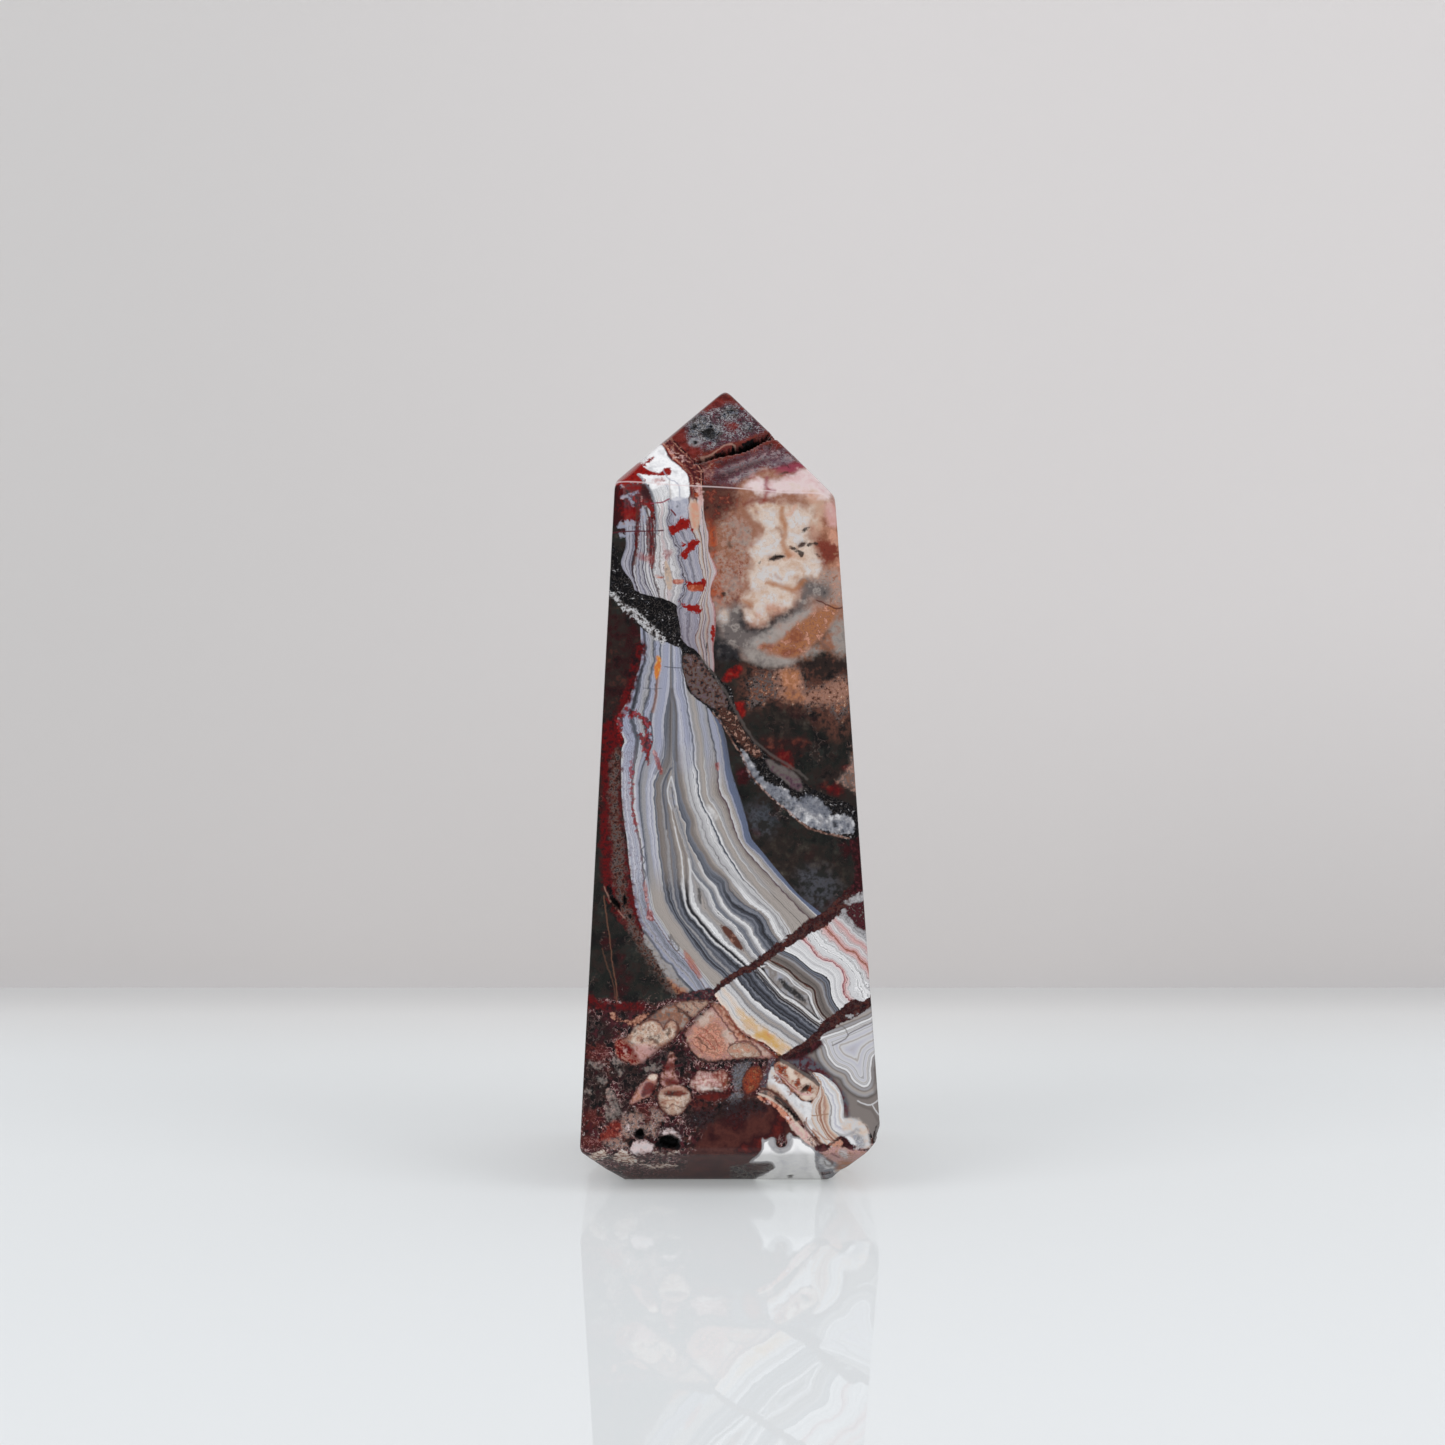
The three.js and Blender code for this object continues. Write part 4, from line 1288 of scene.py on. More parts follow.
# A painted highlight: a thin pale line along the ridge, where the polished edge catches the light, drawn on
# the front flat only.
hairline("ridge",
         "614 484.3, 621 481.6, 645 482.3, 680 485.4, 720 487.3, 765 490.6, 784 492.5, 820 493.4, "
         "829 499", 0.14, "pink white", 0.6, 0.06, 0.0, where=SKIN[:, 1] < FRONT_EDGE)
tell()

# %% Ribbon colours
RIBBON_TOP = (
    "0 milk, 0.25 lavender, 0.8 lavender, 0.92 slate, 1.08 slate, 1.2 mist, 1.5 dove, 1.6 slate, "
    "1.7 lavender, 1.9 mist, 1.97 slate, 2.15 steel, 2.3 pearl, 2.6 mist, 3.5 lavender, 3.9 pearl, "
    "4 slate, 4.1 steel, 4.9 mouse, 5 dove, 5.1 steel, 6 taupe, 8 steel, 9.8 steel, 10 slate, "
    "10.1 steel, 10.5 mist, 11 pearl, 11.4 lavender, 11.8 mist, 11.95 slate, 12.05 pearl, 12.2 dove, "
    "12.8 fawn, 13 dove, 13.3 mist, 13.8 dove, 14 slate, 14.15 mist, 14.7 lavender, 15 dove, "
    "15.2 rim blue, 16 slate"
)
RIBBON_MIDDLE = (
    "0 milk, 0.15 mist, 0.35 pearl, 0.6 mist, 0.8 pearl, 0.93 plum, 1 dove, 1.08 mouse, 1.2 milk, "
    "1.45 pearl, 1.75 mist, 1.95 steel, 2.05 slate, 2.2 steel, 2.6 dove, 3 dove, 3.2 mist, "
    "3.45 pearl, 3.6 mist, 3.75 pearl, 3.9 milk, 3.98 slate, 4.1 steel, 4.25 taupe, 4.6 taupe, "
    "4.9 dove, 5 dove, 5.1 taupe, 5.3 steel, 5.6 taupe, 5.95 fawn, 6 white, 6.1 fawn, 6.5 taupe, "
    "6.95 fawn, 7 milk, 7.1 dove, 8 dove, 8.1 steel, 8.5 dove, 8.9 fawn, 9 milk, 9.08 slate, "
    "9.8 steel, 10 taupe, 10.3 taupe, 10.7 fawn, 10.95 dove, 11.05 milk, 11.3 dove, 11.6 milk, "
    "11.85 milk, 11.95 slate, 12.03 slate, 12.1 white, 12.25 dove, 12.5 fawn, 12.9 fawn, 13 milk, "
    "13.15 dove, 13.5 fawn, 13.85 taupe, 14 plum, 14.1 milk, 14.5 fawn, 14.8 dove, 15 lavender, "
    "15.15 rim blue, 15.8 rim blue, 16 slate"
)
RIBBON_LOW = (
    "0 milk, 0.1 mist, 0.25 lavender, 0.35 dove, 0.5 mist, 0.7 steel, 0.9 mist, 0.98 plum, 1.05 dove, "
    "1.2 pearl, 1.5 mist, 1.7 dove, 1.9 milk, 2 slate, 2.08 milk, 2.3 fawn, 3 fawn, 3.6 fawn, "
    "3.92 dove, 4 slate, 4.2 steel, 4.3 slate, 4.5 charcoal, 4.6 steel, 4.8 slate, 4.95 dove, "
    "5.05 dove, 5.2 slate, 5.4 steel, 5.5 slate, 5.7 charcoal, 5.82 steel, 5.92 milk, 6.05 milk, "
    "6.2 charcoal, 6.5 charcoal, 6.7 dove, 6.9 white, 7.12 white, 7.25 dove, 7.5 fawn, 7.75 dove, "
    "7.95 milk, 8.04 milk, 8.12 steel, 8.35 steel, 8.55 dove, 8.8 milk, 8.97 white, 9.05 dove, "
    "9.15 steel, 9.3 slate, 9.42 steel, 9.5 slate, 9.7 charcoal, 9.78 slate, 9.85 steel, 10 steel, "
    "10.2 slate, 10.3 taupe, 10.5 dove, 10.56 taupe, 10.7 fawn, 10.88 dove, 10.95 white, 11.2 white, "
    "11.35 milk, 11.6 dove, 11.92 milk, 12 taupe, 12.06 milk, 12.2 fawn, 13 fawn, 13.05 taupe, "
    "13.15 fawn, 13.85 fawn, 14 plum, 14.12 taupe, 14.8 fawn, 15 milk, 15.15 rim blue, 15.8 rim blue, "
    "16 slate"
)
TOP_TO_MIDDLE = (735.0, 790.0)  # pixels down the drawing where one set of colours turns into the next
MIDDLE_TO_LOW = (862.0, 905.0)
open_layer("ribbon")
down_the_drawing = read("down")
ribbon_coordinate = wobbly(wobbly(field("ribbon bands", ribbon_place), 0.1, 1.0), 0.04, 0.42)
ribbon = over(
    banded(ribbon_coordinate, RIBBON_TOP),
    banded(ribbon_coordinate, RIBBON_MIDDLE),
    rise(wobbly(down_the_drawing, 12.0, 3.0), *TOP_TO_MIDDLE),
)
ribbon = over(
    ribbon,
    banded(ribbon_coordinate, RIBBON_LOW),
    rise(wobbly(down_the_drawing, 10.0, 3.0), *MIDDLE_TO_LOW),
)
ribbon = laced(ribbon, ribbon_coordinate, 4.0, 0.3)
stain("ribbon", ribbon_inside, ribbon, 0.05, 0.0)
tell()

# %% [markdown]
# ## Left wall of the seam
#
# Iron-red crust lines the wall where the seam opened. Beside it runs a strip of fine crystal grains, and
# small beads of red hang on the first white layer. They are laid after the ribbon because they cover its
# edge.

# %% Left wall
open_layer("left wall")
patch("left brown", mottle(1.0, "soot, maroon, umber, bark"),
      "585 575, 604 596, 624 626, 640 648, 634 684, 622 706, 604 722, 598 760, 588 760", edge=0.8,
      wobble=0.5, strength=0.8)
patch("wall red", mottle(1.0, "soot, maroon, ox blood, maroon, oxide", 0.9),
      "641 640, 645 650, 642 660, 636 682, 631 700, 622 714, 618 722, 621 745, 620 790, 624 826, "
      "629 862, 633 890, 640 920, 648 938, 640 942, 628 930, 612 908, 603 880, 600 850, 602 800, "
      "600 740, 604 722, 614 716, 621 700, 628 680, 633 660, 637 645", edge=0.4, wobble=0.4)
patch("wall grains", mottle(0.42, "black, soot, umber, cocoa, mouse, soot, smoke, dove", 0.65),
      "614 750, 620 750, 619 775, 618 800, 620 821, 624 835, 625 862, 627 893, 632 915, 640 932, "
      "652 950, 664 966, 676 982, 688 996, 676 998, 664 985, 652 968, 640 952, 630 934, 621 912, "
      "616 893, 612 870, 611 830, 609 800, 610 775", edge=0.35, wobble=0.4, strength=0.85)
patch("pale grains", mottle(0.42, "smoke, haze, dove, fawn, haze", 0.8),
      "643 932, 650 938, 656 947, 665 961, 673 966, 681 979, 690 989, 698 997, 688 995, 678 988, "
      "668 978, 660 966, 652 952, 645 942", edge=0.2, wobble=0.2, size=0.42, strength=0.9)
patch("black slits", "black",
      "606.5 886, 610.5 886, 613 895, 618 902, 621 909, 616 908, 611 901, 608 894",
      "622.5 895, 625.5 896, 627 904, 624 907", "628 913, 631 914, 632 918, 629 918", edge=0.1,
      wobble=0.15, size=0.42)
hairline("slit rim", "604 886, 607 894, 611 902, 616 908, 621 914.5, 625 918", 0.16, "dust", 0.6, 0.08, 0.1)
hairline("seam wall", "643 930, 650 939, 656 947, 665 960.5, 672 965, 680 978, 690 988, 699 997", 0.26,
         "slate", 0.85, 0.1, 0.06)
hairline("closed layer",
         "651 904, 654 912, 658 920, 664 928, 669 937, 672 945, 675 950, 678.5 951, 679 947.5, "
         "675 941, 670 934", 0.15, "mouse", 0.8, 0.07, 0.05)
patch("rust corner", mottle(0.42, "umber, ember, amber, dust", 0.9),
      "668 978, 676 984, 684 989, 694 996, 684 997, 675 990", edge=0.3, wobble=0.35, size=0.42,
      strength=0.8)
hairline("tan thread two", "602 948, 606 962, 611 976, 614 988, 616 1000", 0.12, "clay", 0.3, 0.1, 0.1)
patch("wall beads", mottle(0.42, "maroon, scarlet, raspberry"),
      "631 760, 633 762, 632 766, 633.5 772, 632 778, 634 785, 632 792, 634 800, 632.5 806, 636 818, "
      "638.5 830, 635.5 831, 632.5 820, 630.5 808, 631 800, 629.5 790, 630.5 780, 629.5 770", edge=0.1,
      wobble=0.3, size=0.42, strength=0.8)
wall_lace = shape(
    "622 735, 634 735, 634 800, 640 850, 646 910, 660 935, 690 975, 676 965, 650 935, 632 900, "
    "624 850, 622 800"
)
base = over(
    base, "plum",
    calc("MULTIPLY", calc("MULTIPLY", threads(0.65, 0.016), 0.6),
         mask_of("wall lace", wall_lace, 0.3, 0.2))
)
hairline("dark wave", "645 845, 641 852, 645 860, 642 866, 646 874, 643 882", 0.16, "slate", 0.8, 0.07,
         0.06)
hairline("dark fold", "642.5 665, 640.5 672, 637.5 682, 636 692, 634.5 702, 633 709", 0.3, "charcoal",
         0.75, 0.12, 0.08)
hairline("brown layer", "658 676, 656.5 690, 655 703, 652.5 713", 0.4, "clay", 0.5, 0.15, 0.06)
hairline("dark left limb",
         "671.5 688, 669.5 700, 667.5 713, 666 728, 664.5 742, 662 754, 659 765, 655 775", 0.35,
         "slate", 0.6, 0.2, 0.05)
hairline("dark right limb", "672 688, 674 698, 676 712, 676.5 728, 676 745, 676.5 762", 0.3, "mouse",
         0.6, 0.15, 0.05)
patch("red splash", mottle(0.42, "wine, maroon, ox blood, scarlet, raspberry"),
      "625 708, 632 709, 637 713, 643 716, 648 717, 650.5 722, 650 729, 651 737, 652 744, 650 752, "
      "650 760, 647 764, 645 757, 643 748, 640 740, 637 734, 641 733, 645 738, 647 733, 644 727, "
      "641 720, 636 717, 629 716",
      "618 716, 624 715, 624 724, 622 732, 625 741, 621 746, 619 738, 617 727", edge=0.12, wobble=0.35,
      size=0.42, strength=0.9)
patch("ribbon reds", mottle(0.35, "scarlet, brick, rose"), "653 752, 657 753, 663 772, 659 773",
      "643.5 882, 646 882, 649 905, 646.5 905", "646 910, 652 911, 654 921, 648 920",
      "715 762, 718.5 763, 719 771, 716 770", edge=0.1, wobble=0.15, size=0.4, strength=0.75)
patch("yellow spot", mottle(0.5, "ochre, orange, ochre"),
      "657 656, 661 660, 660 672, 657 679, 654 674, 655 665", edge=0.15, wobble=0.12)
patch("ribbon core", mottle(1.0, "bark, cocoa, cocoa, dust", 0.9),
      "720.5 925, 730 929, 737 937.5, 743 947.5, 744 951, 737 948, 730 940.5, 723.5 931.5", edge=0.12,
      wobble=0.06)
patch("white speck", mottle(0.65, "milk, white"),
      "706 806, 712 808, 716 814, 718 820, 713 818, 708 812", edge=0.25, wobble=0.2, strength=0.7)
hairline("ribbon joint one", "664 666.5, 672 667.5, 681 668", 0.12, "slate", 0.8)
hairline("ribbon joint two", "643 688, 654 689, 662 688", 0.1, "slate", 0.6)
patch("orange streak", mottle(0.65, "ember, rust, amber"),
      "683 950, 687 952, 694 962, 701 974, 700 979, 692 970, 686 960", edge=0.2, wobble=0.12,
      strength=0.7)
hairline("core dots", "698 888, 700 894, 699.5 900, 701 904", 0.3, "charcoal", 0.7, 0.1, 0.15)
hairline("tan thread one", "604 895, 606 915, 609 932, 612 960, 616 985, 617 1000, 615 1014", 0.13,
         "clay", 0.45, 0.08, 0.08)
tell()

# %% [markdown]
# ## The dark vein
#
# A later crack cut across the seam and filled with black crystals. Its two walls are drawn apart, so that it
# swells and narrows as it does on the stone. Clear white quartz was the last thing to grow in it, first as a
# streak at the left and then as a wider fill towards the right.

# %% Dark vein
VEIN_TOP = (
    "585 515, 598 525, 611 536, 620.5 567, 629.5 578, 634 589.5, 643 594, 653.6 596.6, 662.5 598.4, "
    "671.4 602, 677 605.5, 676.5 610, 678.6 618, 680.4 629.6, 681.3 637.7, 687.5 645.7, 694.6 649.3, "
    "700 655.5, 707 665.4, 714.3 672.5, 725 685, 731 689, 742 727, 766 754, 775 762, 792 771, "
    "806 784, 819 792, 837 799, 850 804, 859 811, 890 830"
)
VEIN_FOOT = (
    "585 575, 600 584, 609 591, 616 599, 624 610, 634 619, 643 629.6, 652.7 636, 662.5 641, 668 643, "
    "676 646.6, 681.3 650, 682 667, 684.8 679, 687.5 689.5, 694.6 697.5, 707 707, 715 717, 726 724, "
    "732 740, 744 762, 757 780, 769 795, 780 805, 794 814, 806 826, 819 832, 833 836, 855 842, 890 860"
)
open_layer("dark vein")
vein_top = beside(VEIN_TOP)
vein_foot = beside(VEIN_FOOT)
crystals = mottle(0.65, "black, soot, black, charcoal")
crystals = over(
    crystals, mottle(0.42, "smoke, dove, milk", 0.9),
    calc("MULTIPLY", rise(grain(0.26), 0.58, 0.68), rise(grain(1.0), 0.46, 0.62))
)
crystals = over(crystals, "mouse", calc("MULTIPLY", threads(0.65, 0.02), 0.45))
stain("dark vein", np.minimum(-vein_top, vein_foot), crystals, 0.06, 0.06, 0.5)
patch("vein grains", mottle(0.42, "soot, charcoal, cocoa, mouse, plum, taupe", 0.9),
      "683 656, 692 654, 700 660, 712 676, 722 690, 728 702, 722 712, 708 704, 696 696, 688 685, "
      "684 672", edge=0.15, wobble=0.12)
hairline("vein rim",
         "700 656, 712 672, 723 688, 730 700, 738 715, 745 727, 754 740, 763 748, 775 757, 792 767, "
         "808 780", 0.3, "mouse", 0.5, 0.12, 0.12)
quartz = over(
    mottle(1.0, "soot, charcoal, steel, dove, white, dove", 0.85),
    mottle(0.42, "charcoal, steel, milk", 0.9), 0.35
)
patch("vein quartz", quartz,
      "741 750, 748 756, 755 765, 762 777, 775 786, 786 789, 796 799, 812 797, 824 805, 832 814, "
      "846 815, 854 821, 853 833, 842 834, 826 831, 812 827, 800 820, 786 810, 774 800, 762 787, "
      "752 775, 744 764", edge=0.12, wobble=0.25, size=0.42)
patch("blue quartz", mottle(0.65, "charcoal, slate, steel, slate, mist", 0.9),
      "801 798, 812 796, 824 804, 832 814, 822 815, 810 808, 802 806",
      "746 768, 752 770, 760 784, 754 780", "764 788, 770 784, 776 790, 770 796", edge=0.25, wobble=0.3,
      size=0.42, strength=0.75)
patch("vein rubble", mottle(0.42, "black, soot, cocoa, black, dust, soot", 0.85),
      "716 706, 732 712, 742 728, 750 741, 762 754, 756 758, 748 752, 740 744, 730 732, 722 720",
      edge=0.2, wobble=0.2, size=0.42)
patch("smooth lens", mottle(1.0, "charcoal, plum, mouse, smoke, plum", 0.9),
      "766 759, 780 765, 793 772, 801 781, 802 791, 794 789, 784 781, 773 772", edge=0.2, wobble=0.12)
streak = vein(
    "611 593, 620 603, 628.5 610.5, 637.5 617, 646 625, 652.5 631, 659 637, 664 641",
    [4, 6, 8, 7, 8, 9, 5]
)
stain("vein streak", streak, mottle(0.42, "black, charcoal, mouse, dove, milk, soot, charcoal", 0.85),
      0.15, 0.35, 0.45)
hairline("vein foot line",
         "712 712, 722 724, 732 740, 742 756, 750 774, 760 786, 774 800, 788 811, 804 825, 822 832, "
         "850 838", 0.2, mottle(0.42, "soot, cocoa, dust, shell", 0.8), 0.6, 0.09, 0.14)
tell()

# %% [markdown]
# ## The ribbon below the first red vein
#
# A small fault shifted the ribbon along the first red vein, so its lower piece has its own guide lines. The
# slate layers close round a dark core in a long V, and the white ones beyond it bulge like festoons. Ochre
# has soaked into the cream layers on the left.

# %% Lower ribbon
LOWER_GUIDES = [
    "700 975, 719 1001.7, 726 1012, 735.4 1025, 743.7 1033.5, 755.5 1039.4, 766 1044, 775.5 1052, "
    "782.6 1056, 800 1072",
    "716 972, 728.3 988.7, 735.4 996, 742.5 1006.4, 753 1017, 763.7 1026.5, 775.5 1033.5, "
    "782.6 1039.4, 794.4 1046.5, 815 1062",
    "719 970, 730.7 985, 740 996, 747 1005, 756.6 1014.7, 767 1023, 778 1029, 788.5 1037, 799 1044, "
    "820 1060",
    "728 968, 739 981.6, 747 991, 754.3 999.3, 766 1008.8, 775.5 1015.8, 787.3 1024, 796.7 1031, "
    "806 1038.3, 826 1054",
    "745 955, 755.5 969.8, 763.7 980.4, 773 991, 780 999.3, 789.7 1006.4, 800.3 1013.5, "
    "809.7 1021.7, 818 1027.6, 838 1043",
    "747 953, 759 968.7, 767 977, 775.5 986, 782.6 995.8, 792 1001.7, 802.6 1008.8, 812 1017, "
    "821.5 1023, 842 1038",
    "748 951, 759.8 966.5, 766 965.4, 773 970, 782.6 974.6, 789.7 981.6, 800.3 991, 807.4 995.8, "
    "811 1007.6, 819 1019.4, 838 1045",
    "755 950, 769.6 960.4, 780 965, 789.7 972, 798 979.3, 806 985, 814.4 990, 815.6 1000.5, "
    "821.5 1013.5, 826 1018, 845 1040",
    "760 945, 775.5 954.5, 789.7 961.6, 800.3 969.8, 809.7 977, 818 984, 821.5 991, 825 1001.7, "
    "831 1012, 850 1035",
    "770 941, 784.4 951, 794.4 955.7, 802.6 961.6, 808.5 967.5, 815.6 972, 825 975.7, 829.8 981.6, "
    "831 993.4, 833.3 1000.5, 839 1010, 856 1035",
    "780 938, 793 947.4, 802.6 953.3, 808.5 959, 818 965, 827.4 969.8, 834.5 977, 835.7 987.5, "
    "839 998, 846 1005, 862 1025",
    "796 930, 808.5 946, 814.4 954.5, 821.5 959, 831 961.6, 835.7 966, 841.6 971, 844 979, "
    "842.8 986, 844 996, 848.7 1001.7, 865 1022",
    "812 910, 826 927.4, 835.7 938, 844 947.4, 853.4 952, 861.6 959, 868.7 967.5, 880 980",
    "825 890, 838 910, 852 926, 866 938, 884 955"
]
LOWER = (
    "0 salmon, 0.07 cream, 0.4 milk, 0.7 cream, 0.94 milk, 1 mouse, 1.05 milk, 1.6 milk, 1.93 dove, "
    "1.98 mouse, 2.06 dove, 2.3 fawn, 2.5 dove, 2.65 milk, 2.92 white, 2.98 dove, 3.02 charcoal, "
    "3.15 slate, 3.25 steel, 3.32 charcoal, 3.45 slate, 3.55 charcoal, 3.65 slate, 3.75 steel, "
    "3.82 slate, 3.9 charcoal, 3.97 steel, 4 dove, 4.1 steel, 4.3 charcoal, 4.45 dove, 4.6 charcoal, "
    "4.75 taupe, 4.93 white, 5 white, 5.05 charcoal, 5.11 milk, 5.22 dove, 5.34 taupe, 5.42 charcoal, "
    "5.64 soot, 5.72 taupe, 5.87 dove, 5.96 white, 6.02 white, 6.12 charcoal, 6.25 dove, 6.5 milk, "
    "6.62 taupe, 6.85 fawn, 6.96 bark, 7.06 cocoa, 7.2 taupe, 7.6 mouse, 8 taupe, 8.2 dove, "
    "8.3 steel, 8.45 mouse, 8.55 steel, 8.7 slate, 8.8 steel, 8.95 charcoal, 9 charcoal, 9.06 white, "
    "9.5 white, 9.8 milk, 10 milk, 10.2 white, 10.7 milk, 10.93 pink white, 10.99 raspberry, "
    "11.06 rose, 11.2 milk, 11.5 white, 11.7 milk, 11.9 rose, 11.97 terracotta, 12.06 rose, "
    "12.3 milk, 12.6 rose, 12.8 milk, 13 dove"
)
open_layer("lower ribbon")
lower_place, lower_sides = between(LOWER_GUIDES)
lower_coordinate = wobbly(wobbly(field("lower bands", lower_place), 0.07, 1.0), 0.03, 0.42)
lower = laced(banded(lower_coordinate, LOWER), lower_coordinate, 4.5, 0.28)
lower_inside = np.minimum(lower_sides[0], np.minimum(-above_first_vein, above_second_vein))
stain("lower ribbon", lower_inside, lower, 0.06, 0.0)
patch("ochre soak", mottle(0.9, "peach, ochre, cream", 0.9),
      "737 1009, 752 1018, 764 1027, 778 1037, 790 1047, 782 1054, 768 1042, 752 1034, 742 1022",
      edge=0.45, wobble=0.3, strength=0.6)
patch("ochre spot", mottle(1.0, "orange, ochre, ochre, sand", 0.9),
      "757 1033, 768 1032.5, 776 1041, 779 1050, 773 1047, 766 1041, 758 1038", edge=0.35, wobble=0.2,
      strength=0.8)
patch("far pocket", mottle(0.3, "soot, wine, maroon, taupe"),
      "844 903, 856 902, 870 905, 872 932, 862 930, 852 921, 846 912", edge=0.15, wobble=0.2)
tell()

# %% Nested layers
open_layer("nested layers")
patch("lens light", mottle(1.0, "dove, taupe, dove, mist", 0.9),
      "765 965, 772 968, 780 972, 786 975, 791 980, 797 986, 804 990, 809 995, 811 1001, 814 1009, "
      "819 1018, 813 1014, 804 1007, 795 1001, 786 996, 779 990, 772 983, 766 974", edge=0.1,
      wobble=0.05, size=0.42)
patch("lens core", mottle(0.42, "black, soot, charcoal, mouse", 0.9),
      "778 978, 784 980, 790 986, 797 990.5, 803 996, 806.5 1003, 801 1000.5, 793 995.5, 786 990, "
      "781 984", edge=0.12, wobble=0.1, size=0.42, strength=0.9)
patch("point light", mottle(0.65, "taupe, dove, mist", 0.9),
      "671.3 776, 674 783, 676 793, 677.5 806, 674 812, 670.5 808, 667.5 799, 666.5 790, 668.5 782",
      edge=0.12, wobble=0.05, size=0.42, strength=0.85)
NESTED = {
    "759 967.5, 765 975, 770 982, 777 990, 783 995.5, 792 1000, 800 1006, 808 1012, 815 1018, "
        "820.5 1022": (0.14, "white"),
    "767 963, 772 968, 778 971, 785 974.5, 790 979, 794 984, 800 988.5, 806 992, 810 997, 812 1003, "
        "815.5 1011, 820.5 1022": (0.14, "white"),
    "762 967.5, 768 976, 776 985, 783 992.5, 792 998, 800 1003, 809 1010.5, 820 1020": (0.11, "charcoal"),
    "808 995.5, 809 1000, 811 1006, 815 1013.5, 820 1020": (0.11, "charcoal"),
    "771 961, 780 966.5, 789 970, 794 976, 800 981, 810 986, 813.5 990, 815.5 998, 818 1006, "
        "822 1013, 827 1019": (0.17, "umber"),
    "755 971, 761 977, 767 985, 774 992, 780 998.5, 790 1004.5, 800 1012, 810 1020, "
        "819 1026.5": (0.17, "umber"),
    "671.3 776, 669 783, 667.6 791, 668.5 800, 671.5 809": (0.13, "milk"),
    "671.3 776, 673.3 784, 675.4 793, 677 806": (0.15, "milk"),
    "671.8 787, 672.8 797, 675 808": (0.12, "slate"),
    "672 767, 667 775, 664 782, 662.6 791, 663.5 801, 665.5 814, 666.5 830": (0.22, "slate"),
    "675 826, 677 838, 680 850, 682 862, 683.2 874, 684.2 886, 686 900": (0.12, "milk"),
    "688.3 858, 690.3 868, 690.2 878, 691 888, 692.3 897, 694 903": (0.24, "milk"),
    "690.3 868, 697 879, 703 886, 708.5 893, 712.5 901, 715 906": (0.14, "milk"),
    "698 862, 702 870.5, 707 878, 714 885, 718 893, 721.5 901": (0.14, "milk")
}
for number, (points, (width, colour)) in enumerate(NESTED.items()):
    hairline(f"nested line {number}", points, width, colour, 0.85, 0.06, 0.03)
tell()

# %% [markdown]
# ## Red veins and the grey chalcedony
#
# Two thin veins of dark red jasper follow the faults. Right of the second one the seam is filled with grey
# chalcedony. It has a white shield in it whose layers run parallel to its outline, so the distance to that
# outline colours it, inside and outside. Cream layers fold round the end of an old lump.

# %% Grey chalcedony with a shield
open_layer("grey chalcedony")
shield = shape(
    "820 1038.5, 824 1036, 845 1029, 880 1014, 910 1008, 910 1050, 877 1054, 871.5 1063, 871 1073, "
    "871 1081, 866.5 1087, 860 1086, 852 1080, 848 1072, 835 1065, 828 1056, 825 1047"
)
shield_coordinate = calc("MULTIPLY_ADD", wobbly(field("shield", shield), 0.06, 1.0), 0.2, 0.4)
SHIELD = (
    "0 taupe, 0.1 taupe, 0.16 mouse, 0.22 dove, 0.28 fawn, 0.31 taupe, 0.34 dove, 0.37 dove, "
    "0.392 taupe, 0.4 milk, 0.42 white, 0.44 milk, 0.455 dove, 0.47 milk, 0.485 fawn, 0.5 milk, "
    "0.54 pearl, 0.56 milk, 0.575 dove, 0.59 milk, 0.66 pearl, 0.69 milk, 0.72 fawn, 0.75 milk, "
    "0.82 pearl, 1 fawn"
)
stops = [(float(item.split(" ", 1)[0]), item.split(" ", 1)[1]) for item in SHIELD.split(", ")]
grey_zone = np.minimum(
    -above_second_vein,
    beside("790 1045, 800 1060, 812 1076, 830 1092, 838 1105, 840 1120, 862 1122, 874 1140, 880 1160")
)
stain("chalcedony", grey_zone, ramp(shield_coordinate, stops), 0.1, 0.0)
patch("edge sliver", mottle(1.0, "mouse, taupe"),
      "872 1068, 877 1054, 884 1056, 884 1092, 874 1092, 872 1080", edge=0.3, strength=0.7)
patch("vein shadow", mottle(0.8, "maroon, wine, slate, mouse", 0.8),
      "784 1056, 802 1053, 818 1063, 837 1082, 845 1095, 849 1108, 848 1118, 843 1112, 836 1096, "
      "822 1081, 806 1071, 796 1065, 785 1060", edge=0.3, wobble=0.15)
patch("vein corner", mottle(0.7, "soot, maroon, wine"),
      "781 1058, 800 1045, 818 1039, 823 1044, 816 1051, 806 1056, 795 1060", edge=0.25, wobble=0.1)
hairline("star one", "857 1100.5, 864 1104, 872 1104.5, 884 1095", 0.16, "milk", 0.9)
hairline("star two", "872 1104.5, 876 1111, 884 1121", 0.14, "milk", 0.9)
hairline("star shade", "857 1103.5, 866 1107.5, 872 1110, 877 1119, 882 1126", 0.3, "mouse", 0.5, 0.12)
hairline("chalcedony crack", "832 1046, 845 1039, 848 1035, 850 1033, 862 1027, 880 1019", 0.16,
         "mouse", 0.7)
hairline("chalcedony step", "838 1025, 845 1028, 848 1035", 0.14, "mouse", 0.6)
tell()

